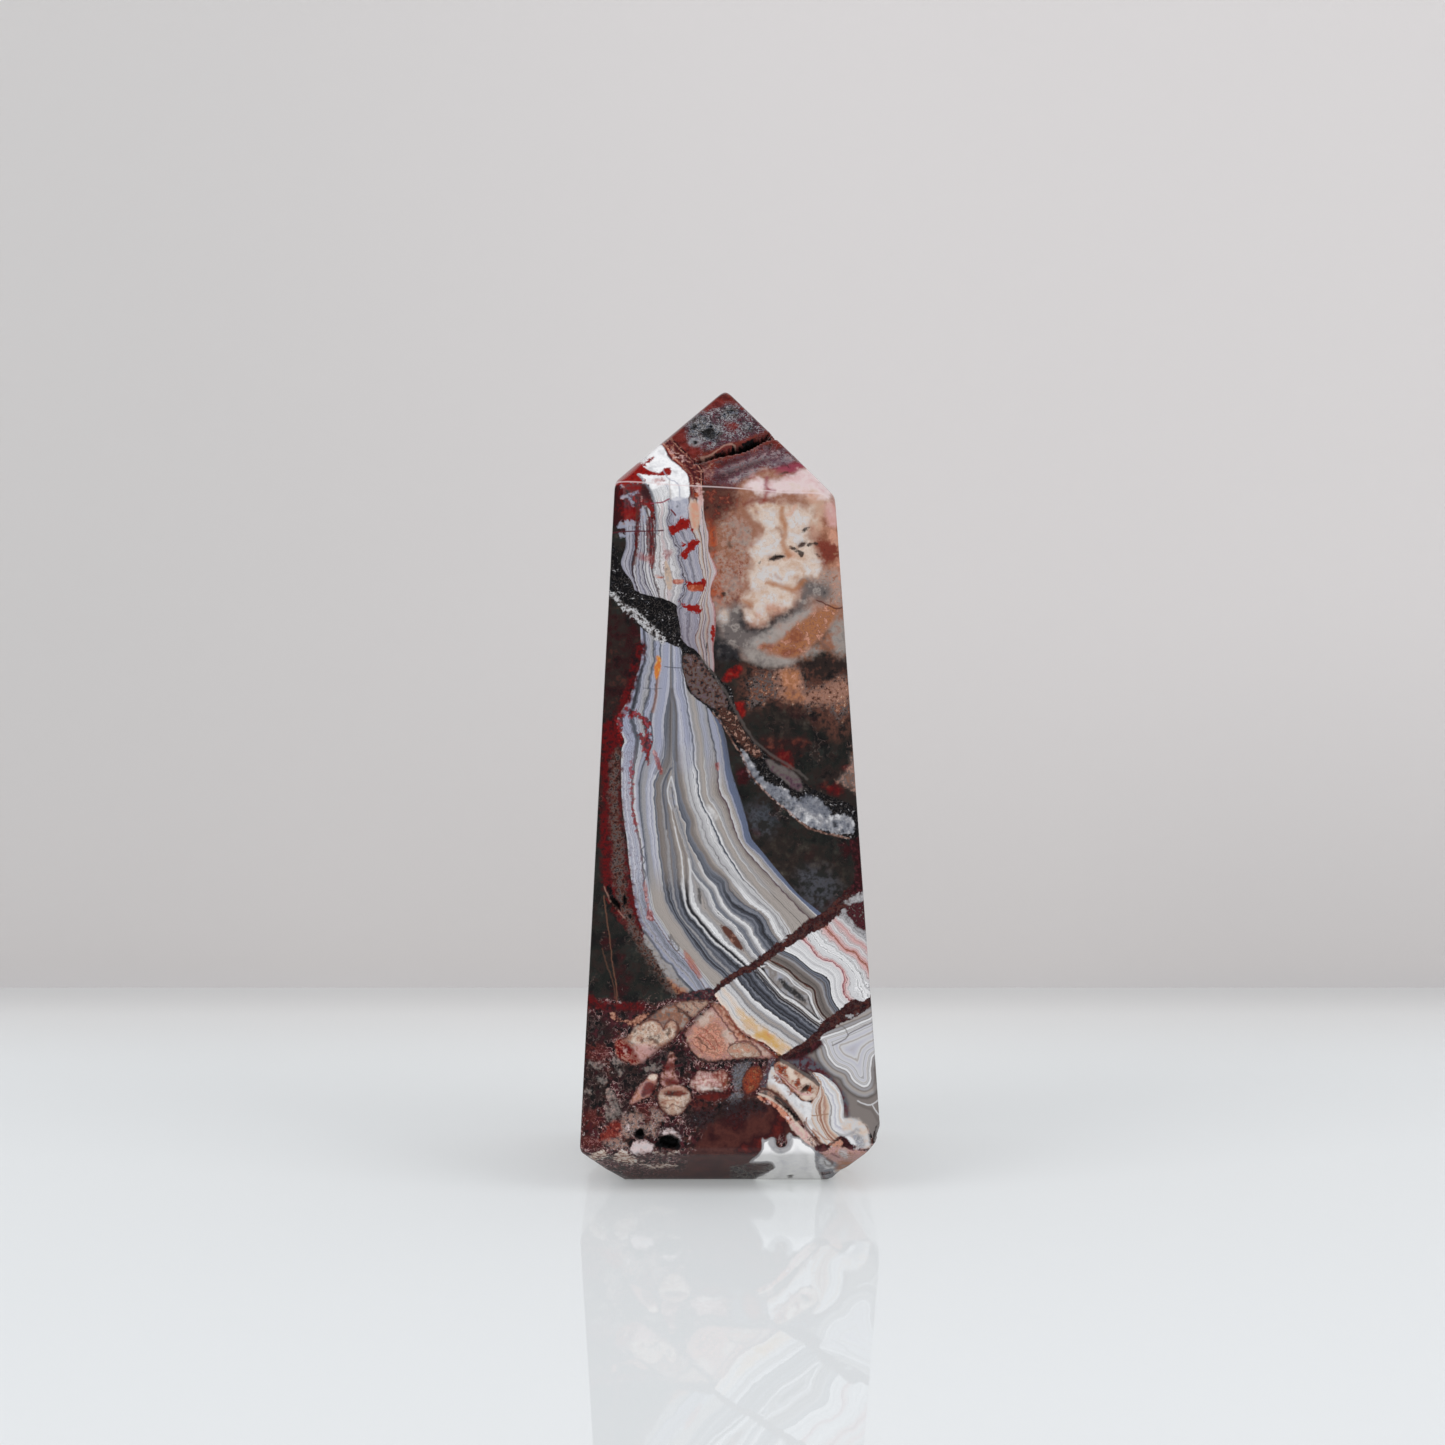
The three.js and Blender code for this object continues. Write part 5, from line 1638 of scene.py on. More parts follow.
# %% Cream fold
FOLD_GUIDES = [
    "800 1058, 812 1073, 819.5 1085, 816 1096, 810 1104, 807 1112, 806 1118, 808 1126, 814 1134, "
    "821 1144, 826 1155",
    "803 1058, 815 1075, 821 1086, 821 1096, 817 1104, 816 1113, 819 1122, 822 1130, 829 1139, "
    "838 1152",
    "804 1058, 812 1073, 819 1080, 823 1090, 828.5 1100, 831 1109.7, 830 1121, 832 1129, 840 1136, "
    "852 1150",
    "806 1056, 810 1070.5, 821 1074, 836 1085, 842.5 1098, 844 1110, 844.5 1117.5, 855 1119, "
    "864.5 1125, 868 1133, 868 1152"
]
FOLD = (
    "0 cocoa, 0.1 dust, 0.25 shell, 0.42 milk, 0.5 sand, 0.58 shell, 0.8 milk, 0.95 shell, 1 clay, "
    "1.07 shell, 1.2 dust, 1.3 clay, 1.4 shell, 1.55 dust, 1.7 sand, 1.85 shell, 1.92 milk, 2 taupe, "
    "2.06 milk, 2.15 white, 2.35 pearl, 2.45 white, 2.6 milk, 2.7 shell, 2.8 white, 3 dove"
)
open_layer("cream fold")
fold_place, fold_sides = between(FOLD_GUIDES)
fold_coordinate = wobbly(wobbly(field("fold bands", fold_place), 0.08, 1.0), 0.03, 0.42)
FOLD_TOP = 1067
fold_inside = np.minimum(np.minimum(fold_sides[0], -fold_sides[-1]), -above_second_vein)
fold_inside = np.minimum(fold_inside, (DOWN - FOLD_TOP) * PIXEL)
stain("cream fold", fold_inside, laced(banded(fold_coordinate, FOLD), fold_coordinate, 8.0, 0.1), 0.06, 0.0)
hairline("fold crack", "805 1115, 816 1115.5, 829 1114", 0.15, "tan", 0.8)
patch("curl", mottle(1.0, "sand, shell, milk, shell", 0.9),
      "845 1120, 856 1119, 865 1125, 869 1134, 870 1148, 860 1150, 856 1147, 852 1138, 846 1134, "
      "842 1128", edge=0.3, wobble=0.15)
patch("striped bump", cracked(mottle(0.65, "steel, dove, mist", 0.9), "milk", 0.65, 0.03, 0.8),
      "850 1133, 857 1133, 863 1138, 865 1146, 860 1149, 855 1145, 853 1138", edge=0.3, wobble=0.15)
hairline("curl shade", "836 1133, 844 1135.5, 852 1133, 857 1129, 860 1132", 0.25, "dove", 0.7, 0.15, 0.08)
patch("white eye", "white", "845 1136.5, 851 1137.5, 855 1142, 855 1146.5, 850 1142.5", edge=0.12)
tell()

# %% Red veins
open_layer("red veins")
vein_red = mottle(0.65, "soot, maroon, maroon, bark, maroon")
vein_red = over(
    vein_red, mottle(0.42, "soot, black, mouse, dust", 0.9), calc("MULTIPLY", threads(0.42, 0.04), 0.5)
)
first_vein = vein(
    "680 997, 697 996, 711 993, 727 981, 742 971, 752 967, 768 955, 783 945, 800 934, 809 927, "
    "826 918, 838 907, 848 895, 861 886, 880 872", [7, 8, 6, 7, 8, 9, 9, 12, 14, 12, 11, 9, 10]
)
stain("first vein", first_vein, vein_red, 0.08, 0.24, 0.6)
patch("vein knot", mottle(0.35, "soot, charcoal, wine, mouse", 0.9),
      "678 998, 688 992, 700 990, 712 988, 716 994, 708 1000, 696 1003, 684 1003", edge=0.12,
      wobble=0.15)
patch("second vein", vein_red,
      "776 1060, 785 1053.7, 806.7 1039.6, 817.6 1028.8, 824 1021, 839 1010, 850 1000.6, 857.7 1000, "
      "864 1000.6, 872 994.5, 885 985, 888 1000, 873 1006, 863 1012.5, 850 1020, 840 1023.4, "
      "835 1027.7, 825 1034, 817.6 1040.7, 810 1046, 796 1054, 784 1061", edge=0.06, wobble=0.14,
      size=0.42)
patch("edge maroon", mottle(0.5, "soot, maroon, wine"),
      "849 842, 862 838, 872 860, 872 888, 862 896, 850 893, 856 875, 853 858", edge=0.15, wobble=0.2)
patch("vein white", mottle(0.42, "mouse, dove, milk", 0.9), "845 1016, 851 1014, 857 1014, 850 1018.5",
      "781 940, 785 937.5, 786 940, 782 943.5", "843 903, 853 897, 864 893, 866 897, 856 901, 848 905",
      edge=0.15, wobble=0.3, size=0.42, strength=0.75)
tell()

# %% [markdown]
# ## Broken pieces in the red jasper
#
# The breccia holds pieces of older crust: a long cream one with a stained end, a salmon one with open joints,
# pebbles with a dark core. Each is an outline whose colour darkens towards its rim, a painted shade that
# gives it volume. Inside, its colours come from clouds of its own, because every piece had its own history.

# %% Pieces
open_layer("broken pieces")
patch("red seam", mottle(1.0, "soot, maroon, ox blood, maroon, oxide", 0.9),
      "584 998, 600 1001, 622 1003, 642 1005, 648 1011, 636 1012, 612 1012, 596 1010, 584 1006",
      "586 994, 594 996, 606 1006, 596 1010, 586 1004", edge=0.4, wobble=0.4, size=0.65)
patch("dark gap", mottle(0.65, "black, soot, wine"),
      "606 1010, 640 1012, 655 1009, 662 1011, 650 1020, 634 1028, 622 1030, 612 1024",
      "640 1064, 660 1052, 676 1044, 690 1056, 694 1064, 684 1070, 664 1074, 648 1076, 636 1074",
      "591 1028, 600 1028, 604 1034, 596 1035", edge=0.5, wobble=0.35, strength=0.85)
patch("pale threads", mottle(0.42, "cocoa, smoke, haze, dust", 0.9),
      "607 1090, 612 1092, 618 1104, 622 1114, 616 1116, 610 1104",
      "606 1104, 618 1112, 616 1122, 606 1118", "600 1076, 606 1080, 604 1084, 598 1080",
      "611 1058, 618 1058, 622 1064, 615 1065", "584 1092, 592 1088, 588 1094",
      "590 1060, 604 1064, 600 1068, 590 1066", "616 1070, 624 1072, 620 1075",
      "644 1068, 656 1064, 660 1068, 650 1074", edge=0.3, wobble=0.45, size=0.42, strength=0.6)
patch("maroon lumps", mottle(0.65, "maroon, bark, oxide, maroon, wine", 0.9),
      "586 1046, 602 1044, 610 1054, 600 1062, 588 1058",
      "584 1112, 600 1108, 604 1120, 592 1128, 584 1124",
      "640 1102, 660 1106, 664 1118, 650 1122, 640 1114", "584 1136, 600 1140, 598 1150, 584 1148",
      "688 1098, 704 1102, 718 1104, 712 1112, 694 1110", edge=0.5, wobble=0.5, size=0.65, strength=0.6)
tell()

# %% Long pieces
piece("peach sliver", mottle(0.42, "ember, clay, flesh, sand", 0.9),
      "610 1012, 616 1013, 618 1018, 630 1020, 640 1015, 652 1012, 646 1018, 634 1026, 622 1022, "
      "612 1020", shade=0.2, wobble=0.2)
piece("long piece",
      cracked(mottle(0.65, "cocoa, clay, dust, smoke, dust, sand", 0.85), "bark", 1.0, 0.012, 0.5),
      "615.5 1042, 621 1039, 627 1036, 636 1027, 648 1018, 660 1010, 673 1004, 681 1009, 690 1018, "
      "684 1027, 676 1036, 668 1044, 654 1053, 640 1062.5, 624 1060, 617 1053")
patch("long piece tan", mottle(1.0, "cocoa, smoke, clay, haze, dust", 0.9),
      "652 1016, 660 1010, 673 1004, 682 1010, 689 1018, 683 1027, 679 1030, 678 1023, 672 1019, "
      "664 1021, 657 1019", edge=0.3, wobble=0.15)
patch("long piece cream",
      cracked(mottle(0.65, "clay, dust, sand, shell, sand, clay", 0.85), "cocoa", 0.65, 0.016, 0.6),
      "628 1037, 640 1025, 650 1021, 660 1025, 664 1031, 669 1022, 675 1023, 675 1031, 671 1038, "
      "660 1045, 648 1048, 636 1044", edge=0.25, wobble=0.2)
patch("long piece flush", mottle(0.65, "clay, rose, dust", 0.9),
      "634 1046, 648 1044, 656 1048, 650 1055, 642 1061, 636 1056", edge=0.4, wobble=0.25,
      strength=0.75)
patch("long piece pits", mottle(0.42, "umber, olive, bark"),
      "647 1035, 654 1037, 660 1035, 657 1040, 650 1040", "654 1041, 660 1040, 658 1044",
      "638 1033, 643 1031, 642 1034", "640 1040, 644 1041, 641 1043", "650 1046, 655 1047, 651 1049",
      "633 1032, 636 1030, 636 1034", "665 1033, 669 1031, 670 1036, 666 1037",
      "631 1037, 634 1036, 633 1039", "642 1028, 650 1027, 646 1030", "667 1028, 671 1027, 670 1030",
      edge=0.2, wobble=0.3, size=0.42, strength=0.75)
patch("stained end", mottle(0.42, "maroon, ox blood, brick, dust, brick, rose", 0.85),
      "615 1041, 622 1039, 628 1044, 632 1050, 637 1056, 640 1062, 632 1064, 622 1060, 616 1053",
      edge=0.3, wobble=0.3, size=0.65)
patch("end spot", mottle(0.42, "dust, pink white"), "623 1047, 627 1048, 627 1053, 624 1052", edge=0.25,
      wobble=0.15, size=0.42)
patch("end stripe", "ox blood", "622 1041, 627 1042, 634 1052, 638 1060, 634 1061, 628 1052", edge=0.25,
      wobble=0.2, strength=0.7)
piece("far piece", mottle(0.42, "bark, haze, sand, dust, shell", 0.8),
      "672.5 1004, 682 1001.5, 696 999.5, 707 1000, 709 1004, 701 1011, 693 1018, 684 1012")
tell()

# %% Salmon, cream and white pieces
piece("salmon piece",
      cracked(mottle(0.65, "clay, flesh, dust, rose, flesh, shell, dust", 0.85), "ember", 0.65, 0.02,
              0.6),
      "688 1028, 700 1017, 713 1005, 722 1007, 728 1017, 736 1028, 746 1037, 757 1042, 768 1050, "
      "776 1058, 766 1060, 752 1058, 736 1060, 720 1061, 706 1063, 696 1057, 688 1046, 685 1036",
      wobble=0.15)
patch("salmon centre",
      cracked(mottle(0.42, "brick, salmon, flesh, clay, salmon, rose", 0.8), "bark", 0.42, 0.03, 0.55),
      "697 1026, 708 1022, 718 1022, 724 1034, 728 1046, 722 1056, 712 1058, 700 1052, 692 1042, "
      "694 1034", edge=0.5, wobble=0.35, strength=0.8)
patch("salmon pale", mottle(0.65, "dust, shell, haze", 0.9),
      "696 1022, 706 1012, 714 1012, 712 1020, 702 1026",
      "724 1030, 731 1031, 734 1042, 728 1044, 723 1036", "757 1044, 765 1049, 770 1055, 763 1053",
      edge=0.4, wobble=0.25, strength=0.7)
patch("salmon side", mottle(0.42, "rust, clay, flesh, sand", 0.9),
      "712 1004, 724 1008, 734 1022, 744 1036, 756 1042, 748 1042, 738 1038, 728 1024", edge=0.25,
      wobble=0.2, strength=0.7)
piece("cream lens", cracked(mottle(0.65, "clay, flesh, sand, shell, sand", 0.9), "cocoa", 0.65, 0.02, 0.5),
      "727 1050, 732 1044, 744 1042, 753 1045, 759 1051, 761 1056.5, 748 1058, 733 1057.5", shade=0.2)
piece("pink flake", mottle(0.42, "clay, flesh, rose, shell", 0.85),
      "629 1106, 633 1094, 641 1084, 648 1076, 653 1073, 658 1075, 657 1083, 652 1092, 650 1097, "
      "640 1101", wobble=0.18)
piece("tall flake", mottle(0.42, "maroon, clay, rose, sand", 0.85),
      "671 1052, 676 1056, 675 1063, 675 1072, 680 1083, 672 1086, 663 1088, 660 1078, 664 1068, "
      "668 1058", wobble=0.2)
patch("flake heart", mottle(0.65, "maroon, ox blood, bark"),
      "646 1083, 654 1083, 654 1090, 648 1095, 641 1096",
      "664 1067, 669 1062, 674 1064, 672 1070, 665 1071", "664 1078, 676 1080, 678 1085, 668 1086",
      edge=0.25, wobble=0.2, size=0.42, strength=0.9)
patch("flake pebble", mottle(0.42, "dust, cream, sand"),
      "648 1077, 653 1074.5, 657 1076, 655 1080, 650 1080", edge=0.15, wobble=0.1)
piece("egg",
      cracked(mottle(0.65, "clay, dust, sand, shell, sand, rose", 0.85), "cocoa", 0.65, 0.018, 0.6),
      "657 1097, 659 1091, 666 1086.5, 676 1084.5, 686 1087, 691 1094, 691 1100, 685 1109, 679 1115, "
      "668 1115, 660 1107", wobble=0.14)
patch("egg roof", mottle(0.42, "clay, dust, rose", 0.9),
      "660 1091, 668 1087, 678 1086, 687 1089, 685 1092, 674 1091, 664 1093", edge=0.2, wobble=0.15)
patch("egg core", mottle(0.42, "umber, bark, ember, cocoa"),
      "663 1092, 672 1090, 682 1091, 687 1093, 683 1096, 674 1097, 667 1097", edge=0.2, wobble=0.2,
      size=0.42)
piece("white piece",
      cracked(mottle(0.42, "clay, dust, rose, shell, rose", 0.8), "ember", 0.65, 0.02, 0.6),
      "689 1084, 693 1077, 700 1070, 712 1071.5, 722 1069.5, 727 1073, 727 1080, 723 1085, "
      "723.5 1092, 715 1089, 706 1092.5, 697 1092, 692 1088", wobble=0.16)
patch("white floor", mottle(0.65, "shell, white"),
      "697 1086, 706 1086, 713 1087, 722 1090, 720 1092, 710 1090, 702 1090", edge=0.2, wobble=0.15,
      strength=0.85)
patch("white blush", mottle(0.42, "maroon, brick, clay, rose", 0.9),
      "712 1074, 726 1072, 729 1082, 724 1090, 720 1083, 714 1078", edge=0.35, wobble=0.25,
      strength=0.75)
patch("white shade", mottle(0.65, "maroon, oxide"),
      "696 1093.5, 706 1093.5, 717 1091, 726 1092, 730 1088, 731 1096, 717 1100, 702 1100", edge=0.3,
      wobble=0.15)
tell()

# %% Crystals and small pieces
patch("blue crystals", mottle(0.42, "soot, slate, mouse, steel, soot, steel", 0.85),
      "733 1071, 739.5 1062, 751 1063, 745 1072, 742 1084, 738 1090, 734 1086",
      "729 1101, 734 1093, 742 1092, 742 1099, 734 1103", edge=0.3, wobble=0.35, size=0.42,
      strength=0.85)
patch("dark crystals", mottle(0.42, "black, soot, maroon, charcoal, maroon, steel", 0.8),
      "688 1116, 700 1108, 714 1108, 716 1116, 706 1128, 694 1126",
      "722 1104, 742 1100, 762 1102, 764 1112, 748 1118, 730 1122",
      "664 1128, 678 1126, 684 1136, 676 1134", edge=0.6, wobble=0.5, size=0.65, strength=0.75)
piece("rust piece",
      cracked(mottle(0.42, "bark, brick, rust, ember, amber, bark", 0.85), "maroon", 0.65, 0.03, 0.7),
      "743 1079, 749 1068, 759 1066, 763 1076, 758 1088.5, 748 1095, 743 1089", wobble=0.18)
patch("crystal strip", mottle(0.42, "black, slate, wine, dove", 0.9),
      "773 1056, 775 1064, 770 1077, 767 1087, 760 1086, 765 1074, 768 1062", edge=0.2, wobble=0.2,
      size=0.42)
patch("orange piece", mottle(0.42, "maroon, oxide, brick, salmon", 0.85),
      "600 1136, 606 1128, 616 1120, 623 1126, 621 1134, 612 1141, 602 1142", edge=0.35, wobble=0.35,
      size=0.42, strength=0.85)
patch("grey pieces",
      cracked(mottle(0.42, "soot, wine, smoke, dust, smoke, haze", 0.75), "milk", 0.65, 0.012, 0.6),
      "625 1114, 636 1111, 643 1115, 642 1124, 634 1134, 624 1138, 621 1130",
      "642 1127, 650 1122, 656 1128, 655 1136, 645 1135", "650 1112, 660 1110, 664 1120, 656 1124",
      "604 1142, 618 1138, 628 1146, 612 1149", edge=0.35, wobble=0.4, size=0.65, strength=0.85)
patch("quartz pieces", mottle(0.65, "dust, pink white, milk", 0.9),
      "630 1148, 636 1142, 646 1141, 653 1145, 652 1151, 640 1154, 632 1152",
      "661 1132, 668 1129, 676 1132, 682 1141, 677 1137, 670 1134, 664 1135",
      "625 1127, 629 1126, 628 1130", edge=0.25, wobble=0.3, size=0.42, strength=0.85)
patch("foot creams", mottle(0.42, "cocoa, dust, cream, milk", 0.85),
      "589 1157, 598 1152, 606 1151, 607 1156, 600 1158, 594 1161",
      "613 1157, 622 1151, 634 1158, 636 1162, 628 1163, 618 1161",
      "640 1161, 650 1166, 664 1164, 677 1165, 664 1167, 650 1168",
      "654 1152, 668 1153, 678 1151, 668 1155", edge=0.2, wobble=0.35, size=0.42, strength=0.85)
patch("foot jasper", mottle(1.7, "wine, bark, maroon, wine", 0.9),
      "640 1154, 680 1152, 700 1156, 740 1156, 752 1166, 750 1182, 640 1184, 622 1172, 636 1168, "
      "660 1169, 690 1167, 680 1158", edge=0.5, wobble=0.3, strength=0.7)
patch("vug", mottle(0.65, "black, black, soot"), "634 1132, 640 1130, 645 1134, 643 1139, 636 1139",
      "655 1143, 662 1137.5, 670 1134.5, 677 1137, 681 1144, 678 1149, 668 1149, 657 1147", edge=0.2,
      wobble=0.25, size=0.42)
tell()

# %% Lines on the pieces
PIECE_LINES = {
    "641 1024, 648 1020.5, 656 1020.5, 661 1025, 664 1031": (0.25, "bark"),
    "664 1031, 666 1024, 671 1020, 676 1022, 677.5 1028, 675 1036, 669 1041, 661 1046": (0.3, "bark"),
    "660 1107, 667 1108, 674.5 1104.5, 682 1108, 688 1104": (0.18, "cocoa"),
    "664 1102, 672 1100, 680 1102": (0.14, "clay"),
    "712 1006, 718 1014, 725 1023, 733 1033, 738 1040": (0.25, "bark"),
    "724 1008, 731 1020, 741 1031, 755 1040, 768 1050, 778 1058": (0.3, "ember"),
    "694 1037, 700 1040, 706 1046, 712 1050": (0.22, "bark"),
    "691 1041, 698 1048, 704 1054": (0.16, "ember"),
    "699 1034, 708 1041, 716 1050": (0.14, "brick"),
    "703 1028, 712 1036, 720 1048": (0.12, "brick"),
    "727 1048, 734 1042.5, 744 1041, 753 1044, 759 1050, 763 1057": (0.25, "bark"),
    "690 1052, 700 1059, 712 1062, 730 1061, 750 1060.5, 768 1060": (0.4, "soot"),
    "676 1008, 684 1014, 691 1018": (0.2, "umber"),
    "684 1004, 692 1011": (0.14, "cocoa"),
    "691 1002, 698 1008": (0.14, "cocoa"),
    "698 1000, 703 1005": (0.14, "cocoa")
}
for number, (points, (width, colour)) in enumerate(PIECE_LINES.items()):
    hairline(f"piece line {number}", points, 0.85 * width, colour, 0.75, 0.1, 0.2)
tell()

# %% [markdown]
# ## Strips beside the lump, and the foot
#
# An old hollow lump lies against the cream fold, with thin crusts below it: cream, tan, and an open slit. The
# foot of the stone is pale chalcedony. It was soft when it met the jasper, so its border is lobed, with a
# grey rim and a white one. The distance to the border gives both.

# %% Lump and strips
open_layer("lump and strips")
patch("white strip", mottle(1.0, "shell, milk, white, milk", 0.9),
      "772 1067, 768 1085, 780 1093, 791 1106, 801 1120, 807 1130, 814 1137, 812 1128, 811 1116, "
      "812 1103, 802 1101, 790 1090, 780 1079", edge=0.12, wobble=0.12)
patch("sand strip", mottle(0.65, "clay, sand, sand, shell", 0.9),
      "768 1084, 774 1085, 781 1092, 790 1102, 797 1110, 805 1119, 803 1123, 795 1114, 785 1103, "
      "776 1094, 769 1089", edge=0.3, wobble=0.15, strength=0.8)
patch("rust strip", mottle(0.42, "rust, ember, clay, flesh", 0.9),
      "772.5 1075.5, 778 1076, 787 1083.5, 789 1086, 783 1085.5, 777 1081.5, 773 1079",
      "788.5 1088, 793 1089, 794 1093.5, 790 1094.5", edge=0.15, wobble=0.25, size=0.42, strength=0.9)
piece("lump", mottle(0.65, "clay, dust, sand, shell, sand, dust", 0.85),
      "774 1066, 780 1060.5, 787 1062, 793 1066, 800 1072, 808 1078, 815 1081, 819 1086, 818 1093, "
      "816 1098, 808 1101, 801 1099, 796 1093, 788 1086, 780 1078, 775 1071", rim="clay", shade=0.25,
      wobble=0.12)
patch("lump light", mottle(1.0, "shell, cream, milk", 0.9),
      "787 1066, 792 1069, 797 1077, 796 1082, 791 1080, 787 1073",
      "799 1079, 808 1079, 812 1085, 804 1085", "800 1093, 808 1093, 815 1096, 811 1100, 803 1098",
      edge=0.25, wobble=0.2, strength=0.85)
patch("lump hollows", mottle(0.42, "soot, bark, ember, rust, cocoa", 0.9),
      "776 1065, 781 1065, 787 1067, 785 1071, 788 1077, 783 1075, 778 1071",
      "794 1080, 799 1080.5, 801 1084, 798 1087, 794 1084",
      "801 1085.5, 808 1086.5, 815 1086, 814 1090, 808 1092.5, 803 1089.5", edge=0.2, wobble=0.3,
      size=0.42)
patch("slit crust", mottle(0.42, "cocoa, smoke, dust, olive", 0.85),
      "760 1088.5, 768 1089, 780 1097.5, 791 1108, 800 1122, 796 1124, 785 1112, 773 1100, 763 1094",
      edge=0.15, wobble=0.15)
patch("salmon strip", mottle(0.42, "brick, ember, salmon, flesh, clay", 0.85),
      "757 1096, 764 1096, 772 1100, 782 1106, 790 1115, 797 1126, 800 1133, 794 1130, 788 1122, "
      "780 1113, 772 1105, 763 1101", edge=0.12, wobble=0.2, size=0.42)
patch("strip foot", mottle(0.65, "dust, shell, rose, shell, haze", 0.85),
      "789 1121, 796 1123, 803 1128, 809 1133, 815 1140, 820 1147, 813 1151, 806 1147, 800 1139, "
      "794 1131", edge=0.2, wobble=0.2)
patch("strip end", mottle(0.42, "bark, clay, shell, cocoa, milk", 0.85),
      "808 1138, 814 1138, 820 1146, 816 1149, 811 1146", "803 1143, 807 1143, 811 1149, 806 1149",
      edge=0.2, wobble=0.3, size=0.42, strength=0.85)
patch("bead", mottle(0.42, "rose, white"), "766 1100, 769 1100, 770.5 1104, 767 1104",
      "786 1117, 789 1116, 790 1119, 787 1120", edge=0.15, wobble=0.15, size=0.42, strength=0.85)
STRIP_LINES = {
    "775 1071, 782 1077, 789 1084, 797 1091.5, 804 1094.5, 812 1094.5": (0.22, "rose"),
    "777 1073, 784 1078.5, 791 1085.5, 797 1090": (0.12, "ember"),
    "780 1060, 790 1065, 800 1071.5, 812 1079, 820 1086": (0.4, "mouse"),
    "758 1093.5, 768 1097.5, 780 1105.5, 791 1116, 799 1126, 804 1132": (0.26, "shell"),
    "760 1088.5, 770 1090.5, 778 1096, 788 1105, 797 1116, 803 1125": (0.28, "bark"),
    "774 1096, 782 1101.5, 790 1110.5, 797 1121.5": (0.3, "umber"),
    "804 1121, 806 1127, 811 1134, 818 1142, 826 1146": (0.28, "cocoa"),
    "807 1117, 806 1122, 810 1129, 820 1139": (0.14, "clay"),
    "813 1128, 819 1134, 826 1139, 833 1140": (0.14, "dust")
}
for number, (points, (width, colour)) in enumerate(STRIP_LINES.items()):
    hairline(f"strip line {number}", points, width, colour, 0.85, 0.08, 0.08)
tell()

# %% Foot
open_layer("foot")
foot_distance = shape(
    "762 1138.5, 764 1141, 768 1139.5, 771 1138, 775 1139, 775.5 1146, 780 1148.5, 786 1147, "
    "788.5 1142, 787 1136, 790 1133.5, 793 1137, 799 1138, 806 1144, 815.5 1151, 816.5 1165, "
    "822 1178, 824 1190, 740 1190, 750 1181, 762 1174, 770 1171, 774 1167, 771 1163, 765 1162.5, "
    "755 1163, 750 1162, 757 1156, 761.5 1151, 762.5 1145"
)
foot_rim = calc("MULTIPLY_ADD", wobbly(field("foot rim", foot_distance), 0.1, 0.65), 0.25, 0.5)
FOOT = [
    (0.44, "smoke"), (0.47, "mouse"), (0.49, "dove"), (0.52, "dove"), (0.55, "snow"), (0.6, "snow"),
    (0.68, "snow"), (0.78, "white"), (1.0, "snow")
]
stain("foot chalcedony", foot_distance + 0.12, ramp(foot_rim, FOOT), 0.1, 0.04)
patch("lobe ring", mottle(0.65, "steel, dove, dove", 0.9),
      "768 1141, 771 1138, 775 1139.5, 775.5 1146, 780 1148.5, 786 1147, 788.5 1142, 787 1136, "
      "791 1134, 793 1140, 792 1147, 787 1152, 780 1154, 773 1151, 769 1146", edge=0.15, wobble=0.08,
      strength=0.85)
patch("foot clouds", mottle(1.7, "pearl, white, milk", 0.9),
      "775 1160, 790 1157, 808 1160, 812 1170, 790 1174, 772 1170", edge=0.6, wobble=0.4, strength=0.5)
patch("foot lobe", mottle(1.0, "wine, charcoal, mouse, maroon, charcoal"),
      "730 1168, 744 1164, 760 1163.5, 770 1163, 774.5 1167, 771 1171, 765 1173, 758 1176, 752 1180, "
      "734 1182", edge=0.2, wobble=0.15)
patch("lobe core", mottle(0.65, "maroon, bark"), "744 1168.5, 758 1166, 766 1167, 758 1170, 748 1172",
      edge=0.3, strength=0.8)
patch("lobe shade", "mouse", "762 1172, 767 1172, 766 1175, 760 1176", edge=0.2, wobble=0.1, strength=0.8)
patch("foot dots", mottle(0.65, "charcoal, mouse"), "774.5 1172, 777 1171.5, 779 1173, 776 1174.5",
      "786.5 1176, 790 1174.5, 794 1176.5, 790 1178", edge=0.15, wobble=0.1)
patch("foot swirl", mottle(0.65, "mouse, dove, steel, dove, taupe", 0.85),
      "815.5 1152, 822 1154, 834 1160, 841 1166, 838 1176, 829 1180, 822 1175, 817 1165", edge=0.2,
      wobble=0.12)
patch("swirl light", mottle(0.65, "dove, milk, milk", 0.9),
      "820 1157, 828 1161, 834 1168, 834 1174, 829 1174, 824 1167, 820 1163", edge=0.2, wobble=0.15)
hairline("swirl one", "824 1160, 826 1165, 831 1166, 833 1163", 0.2, "mouse", 0.7, 0.12, 0.08)
hairline("swirl two", "830 1168, 833 1171, 832 1174", 0.16, "steel", 0.7, 0.1, 0.08)
patch("pink wedge",
      cracked(mottle(0.65, "clay, dust, rose, dust, haze", 0.85), "wine", 0.65, 0.025, 0.6),
      "820 1152, 828 1149, 834 1146, 848 1149, 868 1150.5, 855 1163.5, 842 1164, 828 1159", edge=0.2,
      wobble=0.2)
patch("wedge quartz", mottle(0.65, "dust, milk, haze, milk", 0.9),
      "838 1150, 845 1150, 850 1156, 846 1159, 840 1156", edge=0.25, wobble=0.3, strength=0.8)
patch("olive wedge", mottle(1.0, "taupe, clay, amber, olive", 0.9),
      "840 1162, 855 1162, 842 1175, 836 1168", edge=0.3, wobble=0.2, strength=0.9)
